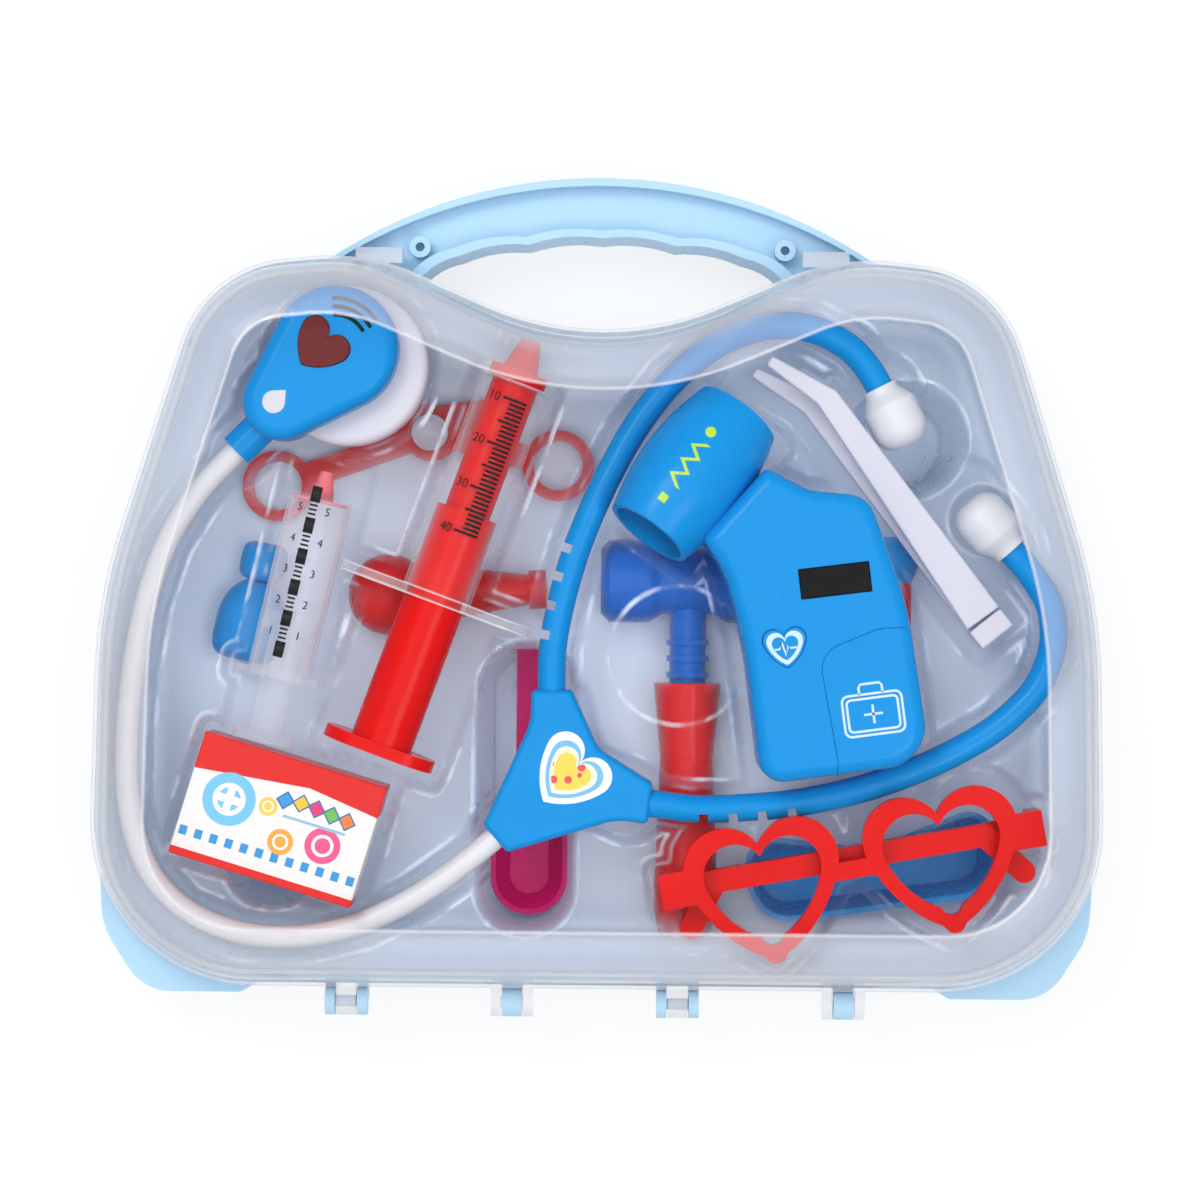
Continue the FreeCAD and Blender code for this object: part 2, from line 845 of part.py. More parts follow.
def chest_screws():
    screws = []
    for place in chest_screw_places():
        head = disc(screw_head_radius, seat, seat + screw_head_thick, place.x, place.y)
        shank = disc(screw_radius, seat, seat + chest_height - chest_wall, place.x, place.y)
        screws.append(head.fuse(shank).removeSplitter())
    return put(Part.makeCompound(screws), spot(chest_shares), chest_turn)


def chest_place():
    """Middle of the cover's round end in the case."""
    turned = FreeCAD.Rotation(UP, chest_turn).multVec(cover_shift())
    return spot(chest_shares) + turned


def heart_at(width, height, low, high):
    solid = prism(heart(width, height), low, high)
    return put(solid, V(heart_shift_x, heart_shift_y, 0), heart_turn)


def drop_at(inset, low, high):
    """Drop-shaped prism: a round foot and a point towards the round end of the cover."""
    radius = drop_width / 2 - inset
    reach = drop_height - drop_width / 2 - inset
    turn = math.degrees(math.acos(radius / reach))
    point = V(-reach, 0, 0)
    first, last = polar(radius, 180.0 - turn), polar(radius, 180.0 + turn)
    edges = [Part.Arc(last, V(radius, 0, 0), first).toShape(), Part.makeLine(first, point),
             Part.makeLine(point, last)]
    wire = Part.Wire(edges)
    wire.translate(V(drop_shift_x, drop_shift_y, 0))
    return prism(wire, low, high)


def speaker_slots(low, high):
    slots = []
    for i in range(slot_count):
        radius = slot_first_radius + i * slot_spacing
        ring = disc(radius + slot_width / 2, low, high).cut(disc(radius - slot_width / 2, low, high))
        reach = cover_radius * 2
        wedge = [V(0, 0, 0), polar(reach, slot_turn - slot_sweep / 2),
                 polar(reach, slot_turn + slot_sweep / 2)]
        face = Part.Face(Part.makePolygon(wedge + [wedge[0]]))
        face.translate(V(0, 0, low))
        slots.append(ring.common(face.extrude(V(0, 0, high - low))))
    return slots


def chest_cover():
    low = seat + chest_height
    top = low + cover_height
    shell = rounded_top(prism(cover_outline(0.0), low, top), cover_edge, top)
    shell = shell.cut(prism(cover_outline(chest_wall), low, top - chest_wall))
    outer_end = neck_reach
    neck = Part.makeCylinder(neck_radius, outer_end - neck_start_length, V(neck_start_length, 0, line_z),
                             V(1, 0, 0))
    post = prism(cover_outline(0.0), line_z, low)
    keep_clear = disc(chest_radius + plug_gap, seat, low, -cover_shift_x, -cover_shift_y)
    shell = shell.fuse(neck.fuse(post).cut(keep_clear))
    bore = Part.makeCylinder(tube_radius + plug_gap, plug_depth + overrun,
                             V(outer_end - plug_depth, 0, line_z), V(1, 0, 0))
    shell = shell.cut(bore)
    through = top + overrun
    cuts = [heart_at(heart_width + 2 * button_gap, heart_height + 2 * button_gap, top - 2 * chest_wall,
                     through)]
    cuts.append(drop_at(0.0, top - chest_wall, through))
    cuts.extend(speaker_slots(top - 2 * chest_wall, through))
    return put(shell.cut(cuts).removeSplitter(), chest_place(), chest_turn)


def chest_heart_button():
    top = seat + chest_height + cover_height
    lip_top = top - chest_wall - button_gap
    board_top = seat + chest_height + board_thick
    solid = heart_at(heart_width, heart_height, lip_top - heart_lip_thick, top + heart_proud)
    solid = solid.fuse(heart_at(heart_width + 2 * heart_lip, heart_height + 2 * heart_lip,
                                lip_top - heart_lip_thick, lip_top))
    stem = disc(stem_radius, board_top + button_travel + button_gap, lip_top, heart_shift_x, heart_shift_y)
    return put(solid.fuse(stem).removeSplitter(), chest_place(), chest_turn)


def chest_drop_inlay():
    top = seat + chest_height + cover_height
    return put(drop_at(0.0, top - chest_wall, top + drop_proud), chest_place(), chest_turn)


def chest_board():
    low = seat + chest_height
    return put(disc(board_radius, low, low + board_thick), chest_place(), chest_turn)


def chest_speaker():
    low = seat + plate_thick
    return put(disc(speaker_radius, low, low + speaker_thick), spot(chest_shares), chest_turn)


def chest_cells():
    low = seat + plate_thick
    cells = []
    for i in range(cell_count):
        place = polar(cell_ring_radius, 360.0 * i / cell_count)
        cells.append(disc(cell_radius, low, low + cell_thick, place.x, place.y))
    return put(Part.makeCompound(cells), spot(chest_shares), chest_turn)


def tube_points():
    """Route of the tube from inside the chest neck to inside the junction's neck."""
    facing = polar(1.0, chest_turn)
    neck = chest_place() + facing * neck_reach
    away = polar(-1.0, junction_turn)
    socket = spot(junction_shares) + away * junction_neck_reach
    start = [neck - facing * tube_plug, neck + facing * (tube_lead - tube_plug)]
    end = [socket + away * tube_lead, socket - away * tube_plug]
    return [(p.x, p.y) for p in start] + list(tube_route) + [(p.x, p.y) for p in end]


def stethoscope_tube():
    points = tube_points()
    solid, radii, length = tube(points, tube_radius, line_z)
    print("tube points", [(round(x, 2), round(y, 2)) for x, y in points])
    print("tube radii", [round(r, 1) for r in radii], "length", round(length, 1))
    print("tube volume share", round(solid.Volume / (math.pi * tube_radius ** 2 * length), 4))
    return solid


def junction_points():
    """Outline of the junction: its neck, two arm mouths and the crotch between them."""
    across = polar(junction_arm_half_width, junction_arm_turn + 90.0)
    mouth = V(junction_arm_x, junction_arm_y, 0)
    outer, inner = mouth + across, mouth - across
    points = [V(-junction_neck_reach, junction_neck_half_width, 0),
              V(-junction_neck_reach, -junction_neck_half_width, 0)]
    side = outer - polar(junction_sleeve_length, junction_arm_turn)
    points.extend([V(side.x, -side.y, 0), V(outer.x, -outer.y, 0), V(inner.x, -inner.y, 0)])
    points.extend([V(junction_crotch_length, 0, 0), inner, outer, side])
    return points


def junction_arm_place(side):
    """Mouth of one arm socket in the case, and the direction that it faces."""
    turn = FreeCAD.Rotation(UP, junction_turn)
    mouth = V(junction_arm_x, side * junction_arm_y, 0)
    facing = polar(1.0, side * junction_arm_turn)
    return spot(junction_shares) + turn.multVec(mouth), turn.multVec(facing)


def y_junction():
    corner = junction_corner
    sleeve = junction_sleeve_radius
    radii = [corner, corner, sleeve, corner, corner, junction_crotch_radius, corner, corner, sleeve]
    low, high = seat, seat + 2 * line_height
    body = prism(rounded(junction_points(), radii), low, high)
    body = rounded_top(body, junction_edge, high)
    bores = [Part.makeCylinder(tube_radius + plug_gap, plug_depth + overrun,
                               V(plug_depth - junction_neck_reach, 0, line_z), V(-1, 0, 0))]
    for side in (-1, 1):
        facing = polar(1.0, side * junction_arm_turn)
        mouth = V(junction_arm_x, side * junction_arm_y, line_z)
        bores.append(Part.makeCylinder(arm_radius + plug_gap, plug_depth + overrun,
                                       mouth - facing * plug_depth, facing))
    return put(body.cut(bores), spot(junction_shares), junction_turn)


def y_label():
    high = seat + 2 * line_height
    return put(put(prism(heart(label_width, label_height), high, high + label_thick), V(0, 0, 0),
                   label_turn),
               spot(junction_shares))


def arm_points(side, shares):
    mouth, facing = junction_arm_place(side)
    points = [mouth - facing * arm_lead_in, mouth + facing * arm_lead]
    points.extend(spot(s) for s in shares)
    return [(p.x, p.y) for p in points]


def headset_arm(side, shares):
    """Bent tube with comb slots on the outer side of its straight run."""
    points = arm_points(side, shares)
    solid = tube(points, arm_radius, line_z)[0]
    path = route(points, line_z)[0]
    slots = []
    for i in range(comb_count):
        place, along = along_path(path, comb_first_length + i * comb_spacing)
        across = UP.cross(along) * side
        slot = block(-comb_width / 2, comb_width / 2, arm_radius - comb_depth, arm_radius + overrun,
                     line_z - arm_radius - overrun, line_z + arm_radius + overrun)
        turn = math.degrees(math.atan2(across.y, across.x)) - 90.0
        slots.append(put(slot, V(place.x, place.y, 0), turn))
    return solid.cut(slots)


def along_path(path, distance):
    """Place and direction at a distance along a wire."""
    for edge in path.OrderedEdges:
        if distance <= edge.Length:
            ahead = edge.getParameterByLength(distance)
            if edge.Orientation == "Reversed":
                ahead = edge.getParameterByLength(edge.Length - distance)
            tangent = edge.tangentAt(ahead)
            return edge.valueAt(ahead), tangent
        distance -= edge.Length
    return path.OrderedVertexes[-1].Point, V(1, 0, 0)


def ear_tip(shares):
    """Soft bell on the end of an arm, bored for it."""
    end, before = spot(shares[-1]), spot(shares[-2])
    heading = end - before
    start = -tip_bore_depth
    points = [(start, 0.0), (start, tip_neck_radius), (start + tip_collar_length, tip_neck_radius),
              (tip_length * bell_shares[0], tip_radius),
              (tip_length * bell_shares[1], tip_radius), (tip_length, tip_end_radius, tip_crown),
              (tip_length, 0.0)]
    bell = lathe(points, line_z)
    bore = Part.makeCylinder(arm_radius + plug_gap, tip_bore_depth + overrun,
                             V(start - overrun, 0, line_z), V(1, 0, 0))
    turn = math.degrees(math.atan2(heading.y, heading.x))
    return put(bell.cut(bore), end, turn)


# Syringe pieces, drawn along +X from the finger wings
def syringe_place(solid):
    return put(solid, spot(syringe_shares), syringe_turn)


def syringe_barrel():
    z = seat + barrel_radius
    bore = barrel_radius - barrel_wall
    body = lathe([(-wing_thick, 0.0), (-wing_thick, barrel_radius), (barrel_length, barrel_radius),
                  (barrel_length, 0.0)], z)
    wings = stadium(wing_length, 2 * barrel_radius, -wing_thick, 0.0, z)
    inside = lathe([(-wing_thick - overrun, 0.0), (-wing_thick - overrun, bore),
                    (barrel_length - barrel_end_thick, bore), (barrel_length - barrel_end_thick, 0.0)], z)
    mouth = lathe([(0.0, 0.0), (0.0, core_radius), (barrel_length + overrun, core_radius),
                   (barrel_length + overrun, 0.0)], z)
    return syringe_place(body.fuse(wings).cut(inside).cut(mouth).removeSplitter())


def syringe_core():
    z = seat + barrel_radius
    front = barrel_length
    points = [(core_rear, 0.0), (core_rear, core_radius), (front, core_radius), (front, nozzle_step_radius),
              (front + nozzle_step, nozzle_step_radius), (front + nozzle_step, nozzle_root_radius),
              (front + nozzle_length, nozzle_tip_radius), (front + nozzle_length, 0.0)]
    return syringe_place(lathe(points, z))


def syringe_plunger():
    z = seat + barrel_radius
    radius = barrel_radius - barrel_wall - plunger_gap
    stick = lathe([(-thumb_reach, 0.0), (-thumb_reach, radius), (plunger_front, radius),
                   (plunger_front, 0.0)], z)
    bore_radius = core_radius + plunger_bore_gap
    thumb = stadium(thumb_length, 2 * barrel_radius, -thumb_reach - thumb_thick, -thumb_reach, z)
    bore = lathe([(-thumb_reach, 0.0), (-thumb_reach, bore_radius), (plunger_front + overrun, bore_radius),
                  (plunger_front + overrun, 0.0)], z)
    return syringe_place(stick.fuse(thumb).cut(bore).removeSplitter())


# Dropper pieces, drawn along +X from the finger wings
def dropper_place(solid):
    return put(solid, spot(dropper_shares), dropper_turn)


def dropper_barrel():
    z = seat + dropper_radius
    bore = dropper_radius - dropper_wall
    body = lathe([(-dropper_wing_thick, 0.0), (-dropper_wing_thick, dropper_radius),
                  (dropper_length, dropper_radius), (dropper_length, 0.0)], z)
    wings = stadium(dropper_wing_length, 2 * dropper_radius, -dropper_wing_thick, 0.0, z)
    inside = lathe([(-dropper_wing_thick - overrun, 0.0), (-dropper_wing_thick - overrun, bore),
                    (dropper_length - dropper_wall, bore), (dropper_length - dropper_wall, 0.0)], z)
    mouth = lathe([(0.0, 0.0), (0.0, dropper_tip_radius), (dropper_length + overrun, dropper_tip_radius),
                   (dropper_length + overrun, 0.0)], z)
    return dropper_place(body.fuse(wings).cut(inside).cut(mouth).removeSplitter())


def dropper_tip():
    z = seat + dropper_radius
    back = dropper_length - 2 * dropper_wall
    points = [(back, 0.0), (back, dropper_piston_radius),
              (dropper_length - dropper_wall, dropper_piston_radius),
              (dropper_length - dropper_wall, dropper_tip_radius), (dropper_length, dropper_tip_radius),
              (dropper_length + dropper_tip_length, dropper_tip_radius / 2),
              (dropper_length + dropper_tip_length, 0.0)]
    return dropper_place(lathe(points, z))


def dropper_plunger():
    z = seat + dropper_radius
    back = -dropper_thumb_reach
    neck = dropper_rod_front - dropper_piston_thick
    points = [(back - dropper_thumb_thick, 0.0), (back - dropper_thumb_thick, dropper_thumb_radius),
              (back, dropper_thumb_radius), (back, dropper_rod_radius), (neck, dropper_rod_radius),
              (neck, dropper_piston_radius), (dropper_rod_front, dropper_piston_radius),
              (dropper_rod_front, 0.0)]
    return dropper_place(lathe(points, z))


# Medicine carton, a folded card tube with tucked ends
def carton_sleeve():
    half_w, half_h = carton_width / 2, carton_height / 2
    outer = block(-half_w, half_w, -half_h, half_h, seat, seat + carton_depth)
    inner = block(-half_w - overrun, half_w + overrun, carton_wall - half_h, half_h - carton_wall,
                  seat + carton_wall, seat + carton_depth - carton_wall)
    return put(outer.cut(inner), spot(carton_shares), carton_turn)


def carton_end_flaps():
    half_h = carton_height / 2 - carton_wall - flap_gap
    low, high = seat + carton_wall + flap_gap, seat + carton_depth - carton_wall - flap_gap
    flaps = []
    for side in (-1, 1):
        edge = carton_width / 2
        flap = block(edge - carton_wall, edge, -half_h, half_h, low, high)
        tuck = block(edge - tuck_depth, edge, -half_h, half_h, high - carton_wall, high)
        both = flap.fuse(tuck).removeSplitter()
        flaps.append(both if side > 0 else put(both, V(0, 0, 0), 180.0))
    return put(Part.makeCompound(flaps), spot(carton_shares), carton_turn)


# Infrared thermometer, a curved grip with a barrel-shaped nose
gun_low = seat + nose_end_radius + nose_belly - gun_depth / 2
gun_mid = gun_low + gun_depth / 2
gun_high = gun_low + gun_depth


def gun_spot(shares):
    return V(shares[0] * gun_width, shares[1] * gun_height, 0)


def gun_place(solid):
    return put(solid, spot(gun_shares))


def gun_wire(inset):
    points = [gun_spot(s) for s in gun_outline_shares][::-1]
    return rounded(points, gun_outline_radii[::-1], 0.0, inset)


def nose_place(solid):
    """Tilt a piece of the nose so that its mouth, at -X, looks up, and set it on the grip."""
    tilted = solid.copy()
    tilted.rotate(V(0, 0, 0), V(0, 1, 0), nose_tilt)
    tilted.translate(V(0, 0, gun_mid + nose_rise))
    return put(tilted, gun_spot(nose_shift_shares), nose_turn)


def nose_solid(inset, start, end):
    """Barrel-shaped solid of the nose, thinner by inset, between two places along it."""
    radius = nose_end_radius - inset
    points = [(start, 0.0), (start, radius), (end, radius, nose_belly), (end, 0.0)]
    return nose_place(lathe(points, 0.0))


def gun_nose():
    outer = nose_solid(0.0, -nose_half_length, nose_half_length)
    inner = nose_solid(nose_wall, -nose_half_length - overrun, nose_half_length - nose_end_wall)
    start = nose_half_length - nose_end_wall - overrun
    bore = Part.makeCylinder(lamp_radius, nose_end_wall + 2 * overrun, V(start, 0, 0), V(1, 0, 0))
    return gun_place(outer.cut(inner).cut(nose_place(bore)))


def gun_lamp():
    lamp = Part.makeCylinder(lamp_radius, lamp_length, V(nose_half_length - lamp_length, 0, 0), V(1, 0, 0))
    return gun_place(nose_place(lamp))


def gun_body():
    """Whole grip with rounded edges, cut away round the nose."""
    body = prism(gun_wire(0.0), gun_low, gun_high)
    body = rounded_top(body, gun_edge, gun_high)
    body = rounded_top(body, gun_edge, gun_low)
    return body.cut(nose_solid(0.0, -nose_half_length, nose_half_length))


def gun_hollow():
    hollow = prism(gun_wire(gun_wall), gun_low + gun_wall, gun_high - gun_wall)
    return hollow.cut(nose_solid(-gun_wall, -nose_half_length, nose_half_length))


def gun_screw_places():
    return [gun_spot(s) for s in gun_screw_shares]


def door_wire(inset):
    return rounded([gun_spot(s) for s in door_shares], door_radii, 0.0, inset)


def key_at(width, height, low, high):
    return put(prism(heart(width, height), low, high), gun_spot(key_shift_shares), key_turn)


def display_at(inset, low, high):
    half_w, half_h = display_width / 2 - inset, display_height / 2 - inset
    return put(block(-half_w, half_w, -half_h, half_h, low, high), gun_spot(display_shift_shares),
               display_turn)


def gun_front_shell():
    half = block(-gun_width, gun_width, -gun_height, gun_height, gun_mid, gun_high + overrun)
    shell = gun_body().common(half).cut(gun_hollow())
    for place in gun_screw_places():
        boss = disc(screw_boss_radius, gun_mid, gun_high - gun_wall, place.x, place.y)
        shell = shell.fuse(boss)
        shell = shell.cut(disc(screw_radius + screw_gap, gun_mid, gun_low + gun_screw_length + screw_gap,
                               place.x, place.y))
    cuts = [prism(door_wire(-door_gap), gun_mid, gun_high + overrun)]
    cuts.append(display_at(0.0, gun_high - 2 * gun_wall, gun_high + overrun))
    cuts.append(key_at(key_width + 2 * button_gap, key_height + 2 * button_gap, gun_high - 2 * gun_wall,
                       gun_high + overrun))
    return gun_place(shell.cut(cuts))


def gun_battery_door():
    half = block(-gun_width, gun_width, -gun_height, gun_height, gun_mid, gun_high + overrun)
    shell = gun_body().common(half).cut(gun_hollow())
    return gun_place(shell.common(prism(door_wire(0.0), gun_mid, gun_high + overrun)))


def gun_back_shell():
    half = block(-gun_width, gun_width, -gun_height, gun_height, gun_low - overrun, gun_mid)
    shell = gun_body().common(half).cut(gun_hollow())
    for place in gun_screw_places():
        shell = shell.fuse(disc(screw_boss_radius, gun_low + gun_wall, gun_mid, place.x, place.y))
        shell = shell.cut(disc(screw_radius + screw_gap, gun_low - overrun, gun_mid + overrun, place.x,
                               place.y))
        shell = shell.cut(disc(screw_head_radius + screw_gap, gun_low - overrun,
                               gun_low + screw_head_thick, place.x, place.y))
    centre = gun_spot(gun_board_shift_shares)
    for side in (-1, 1):
        post = disc(gun_post_radius, gun_low + gun_wall, gun_mid, centre.x + side * gun_post_spread / 2,
                    centre.y)
        shell = shell.fuse(post)
    return gun_place(shell)


def gun_screws():
    screws = []
    for place in gun_screw_places():
        head = disc(screw_head_radius, gun_low, gun_low + screw_head_thick, place.x, place.y)
        shank = disc(screw_radius, gun_low, gun_low + gun_screw_length, place.x, place.y)
        screws.append(head.fuse(shank).removeSplitter())
    return gun_place(Part.makeCompound(screws))


def gun_board():
    centre = gun_spot(gun_board_shift_shares)
    half_w, half_h = gun_board_width / 2, gun_board_height / 2
    board = block(centre.x - half_w, centre.x + half_w, centre.y - half_h, centre.y + half_h, gun_mid,
                  gun_mid + board_thick)
    return gun_place(board)


def gun_cells():
    centre = gun_spot(gun_cell_shift_shares)
    low = gun_low + gun_wall
    cells = []
    for side in (-1, 1):
        cells.append(disc(gun_cell_radius, low, low + gun_cell_thick, centre.x,
                          centre.y + side * gun_cell_spacing / 2))
    return gun_place(Part.makeCompound(cells))


def gun_display():
    return gun_place(display_at(button_gap, gun_high - display_thick, gun_high + display_proud))


def gun_heart_key():
    lip_top = gun_high - gun_wall - button_gap
    key = key_at(key_width, key_height, lip_top - heart_lip_thick, gun_high + key_proud)
    lip = key_at(key_width + 2 * key_lip, key_height + 2 * key_lip, lip_top - heart_lip_thick, lip_top)
    centre = gun_spot(key_shift_shares)
    stem = disc(stem_radius, gun_mid + board_thick + button_travel + button_gap, lip_top, centre.x,
                centre.y)
    return gun_place(key.fuse(lip).fuse(stem).removeSplitter())


# Tweezers lying on the broad side of one arm, drawn along +X from the closed end
def tweezers_blade(start):
    """One flat arm at height zero: tapered to its bend, with a narrow tip turned aside."""
    bend = V(tweezers_bend_length, 0, 0)
    tip = bend + polar(tweezers_tip_length, tweezers_tip_turn)
    side = polar(tweezers_tip_width / 2, tweezers_tip_turn + 90.0)
    root, waist = tweezers_root_width / 2, tweezers_bend_width / 2
    points = [V(start, -root, 0), bend + V(0, -waist, 0), tip - side, tip + side, bend + V(0, waist, 0),
              V(start, root, 0)]
    return prism(Part.makePolygon(points + [points[0]]), 0.0, tweezers_thick)


def tweezers_place(solid):
    return put(solid, spot(tweezers_shares), tweezers_turn)


def tweezers_fixed_arm():
    root = tweezers_root_width / 2
    high = seat + 2 * tweezers_thick + tweezers_root_gap
    solid = block(-tweezers_block_length, 0.0, -root, root, seat, high)
    blade = tweezers_blade(0.0)
    blade.translate(V(0, 0, seat))
    return tweezers_place(solid.fuse(blade).removeSplitter())


def tweezers_moving_arm():
    blade = tweezers_blade(tweezers_joint_gap)
    blade.rotate(V(0, 0, 0), V(0, 1, 0), -tweezers_rise_turn)
    blade.rotate(V(0, 0, 0), UP, -tweezers_splay_turn)
    blade.translate(V(0, 0, seat + tweezers_thick + tweezers_root_gap))
    return tweezers_place(blade)


# Glasses, face up with their temples folded underneath
glasses_low = seat + rim_lift
ear_thick = (end_piece_height - temple_width) / 2 - temple_gap / 2


def glasses_place(solid):
    return put(solid, spot(glasses_shares), glasses_turn)


def temple_low(side):
    """Height of a folded temple: the right one lies under the left one."""
    if side > 0:
        return seat
    return seat + temple_thick + temple_gap


def glasses_pin(side, radius, extra):
    """Hinge pin of one temple, or its bore when it is given a play."""
    x = side * (end_piece_half_width - end_piece_thick / 2)
    start = V(x, end_piece_lift - end_piece_height / 2 - extra, temple_low(side) + temple_thick / 2)
    return Part.makeCylinder(radius, end_piece_height + 2 * extra, start, V(0, 1, 0))


def rim_heart(inset):
    """Heart outline of a rim, or of its opening when it is inset."""
    return heart(rim_width - 2 * inset, rim_height - 2 * inset, rim_notch_share, rim_lobe_share,
                 rim_tip_radius)


def glasses_frame():
    low, high = glasses_low, glasses_low + rim_thick
    frame, holes = [], []
    y0, y1 = end_piece_lift - end_piece_height / 2, end_piece_lift + end_piece_height / 2
    for side in (-1, 1):
        centre = V(side * rim_spacing / 2, 0, 0)
        frame.append(put(prism(rim_heart(0.0), low, high), centre))
        opening = rim_heart(rim_bar)
        holes.append(put(prism(opening, low - overrun, high + overrun), centre))
        inner = rim_spacing / 2 + rim_width / 2 - rim_bar
        x0, x1 = sorted((side * inner, side * end_piece_half_width))
        frame.append(block(x0, x1, y0, y1, low, high))
        x0, x1 = sorted((side * (end_piece_half_width - end_piece_thick), side * end_piece_half_width))
        for y in (y0, y1 - ear_thick):
            frame.append(block(x0, x1, y, y + ear_thick, temple_low(side), low))
        holes.append(glasses_pin(side, glasses_pin_radius + glasses_pin_gap, overrun))
    reach = (rim_spacing - rim_width) / 2 + rim_bar
    frame.append(block(-reach, reach, bridge_lift - bridge_width / 2, bridge_lift + bridge_width / 2, low,
                       high))
    return glasses_place(frame[0].fuse(frame[1:]).cut(holes[0::2]).cut(holes[1::2]).removeSplitter())


def glasses_temple(side):
    low = temple_low(side)
    half = temple_width / 2
    high = low + temple_thick
    bar = block(-temple_length, 0.0, -half, half, low, high)
    tip = block(-temple_tip_length, 0.0, -half, half, low, high)
    tip = tip.fuse(disc(half, low, high, -temple_tip_length))
    tip = put(tip, V(-temple_length, 0, 0), temple_tip_turn)
    leg = bar.fuse([tip, disc(half, low, high, -temple_length)]).removeSplitter()
    if side < 0:
        leg = leg.mirror(V(0, 0, 0), V(1, 0, 0))
    leg = put(leg, V(side * end_piece_half_width, end_piece_lift, 0))
    return glasses_place(leg.cut(glasses_pin(side, glasses_pin_radius + glasses_pin_gap, overrun)))


def glasses_hinge_pins():
    pins = [glasses_pin(side, glasses_pin_radius, 0.0) for side in (-1, 1)]
    return glasses_place(Part.makeCompound(pins))


# Reflex hammer, its head across and its handle towards -Y
def hammer_head():
    z = floor_seat + hammer_head_radius
    half, radius, chamfer = hammer_head_half_length, hammer_head_radius, hammer_face_chamfer
    flat, waist = half * head_flat_share, half * head_waist_share
    points = [(-half, 0.0), (-half, radius - chamfer), (chamfer - half, radius), (-flat, radius),
              (-waist, hammer_head_waist), (waist, hammer_head_waist), (flat, radius),
              (half - chamfer, radius),
              (half, radius - chamfer), (half, 0.0)]
    solids = [Part.makeCylinder(hammer_neck_radius, hammer_neck_length, V(0, 0, z), V(0, -1, 0))]
    for i in range(hammer_ring_count):
        y = hammer_ring_width * 2 + i * hammer_ring_spacing - hammer_neck_length
        solids.append(Part.makeCylinder(hammer_neck_radius + hammer_ring_rise, hammer_ring_width,
                                        V(0, y, z), V(0, -1, 0)))
    bore = Part.makeCylinder(spigot_radius + plug_gap, plug_depth, V(0, -hammer_neck_length, z), V(0, 1, 0))
    return put(lathe(points, z).fuse(solids).cut(bore).removeSplitter(), spot(hammer_shares))


def hammer_handle():
    z = floor_seat + hammer_head_radius
    start = hammer_neck_length
    end = start + hammer_handle_length
    waist = start + hammer_handle_length * grip_waist_share
    points = [(start - tube_plug, 0.0), (start - tube_plug, spigot_radius), (start, spigot_radius),
              (start, hammer_handle_radius), (waist, hammer_waist_radius),
              (end - hammer_grip_radius, hammer_grip_radius),
              (end, hammer_waist_radius), (end, 0.0)]
    return put(lathe(points, z), spot(hammer_shares), handle_turn)


# Scissors lying open, each lever with a finger ring at one end
def scissors_lever(low, turn, reach, hole):
    high = low + scissors_thick
    inner = reach - scissors_ring_hole
    solid = disc(scissors_hub_radius, low, high)
    solid = solid.fuse([block(0.0, inner, -scissors_arm_half_width, scissors_arm_half_width, low, high),
                        disc(scissors_ring_radius, low, high, reach)])
    tip = scissors_arm_half_width * blade_tip_share
    blade = [V(0, -scissors_hub_radius, 0), V(0, scissors_hub_radius, 0), V(-scissors_blade_length, tip, 0),
             V(-scissors_blade_length, -tip, 0)]
    solid = solid.fuse(prism(Part.makePolygon(blade + [blade[0]]), low, high))
    cuts = [disc(scissors_ring_hole, low - overrun, high + overrun, reach),
            disc(hole, low - overrun, high + overrun)]
    return put(solid.cut(cuts).removeSplitter(), spot(scissors_shares), turn)


def scissors_lever_a():
    return scissors_lever(floor_seat, scissors_left_turn, scissors_left_reach, rivet_radius + screw_gap)


def scissors_lever_b():
    low = floor_seat + scissors_thick + scissors_stack_gap
    return scissors_lever(low, scissors_right_turn, scissors_right_reach, rivet_radius + rivet_play)


def scissors_rivet():
    top = floor_seat + 2 * (scissors_thick + scissors_stack_gap)
    rivet = disc(rivet_radius, floor_seat, top).fuse(disc(rivet_head_radius, top, top + rivet_head_thick))
    return put(rivet.removeSplitter(), spot(scissors_shares))


def bulb_profile(inset):
    """Half outline of the squeeze bulb, thinner by inset, up to its collar."""
    radius = bulb_radius - inset
    turn = math.radians(bulb_shoulder_turn)
    sag = radius * (1 - math.cos((math.pi - turn) / 2))
    return [(-radius, 0.0), (radius * math.cos(turn), radius * math.sin(turn), sag),
            (bulb_reach, bulb_neck_radius - inset)]


def squeeze_bulb():
    z = floor_seat + bulb_radius
    end = bulb_reach + bulb_collar_length
    outer = lathe(bulb_profile(0.0) + [(bulb_reach, bulb_collar_radius), (end, bulb_collar_radius),
                                       (end, 0.0)], z)
    bore = bulb_neck_radius - bulb_wall
    inner = lathe(bulb_profile(bulb_wall) + [(end + overrun, bore), (end + overrun, 0.0)], z)
    return put(outer.cut(inner), spot(bulb_shares), bulb_turn)


def bottle():
    z = floor_seat + bottle_radius
    neck = bottle_length + bottle_shoulder
    end = neck + bottle_neck_length
    outer = lathe([(0.0, 0.0), (0.0, bottle_radius), (bottle_length, bottle_radius),
                   (neck, bottle_neck_radius),
                   (end, bottle_neck_radius), (end, 0.0)], z)
    wall = bottle_wall
    inner = lathe([(wall, 0.0), (wall, bottle_radius - wall), (bottle_length - wall, bottle_radius - wall),
                   (neck - wall, bottle_neck_radius - wall), (end + overrun, bottle_neck_radius - wall),
                   (end + overrun, 0.0)], z)
    return put(outer.cut(inner), spot(bottle_shares), bottle_turn)


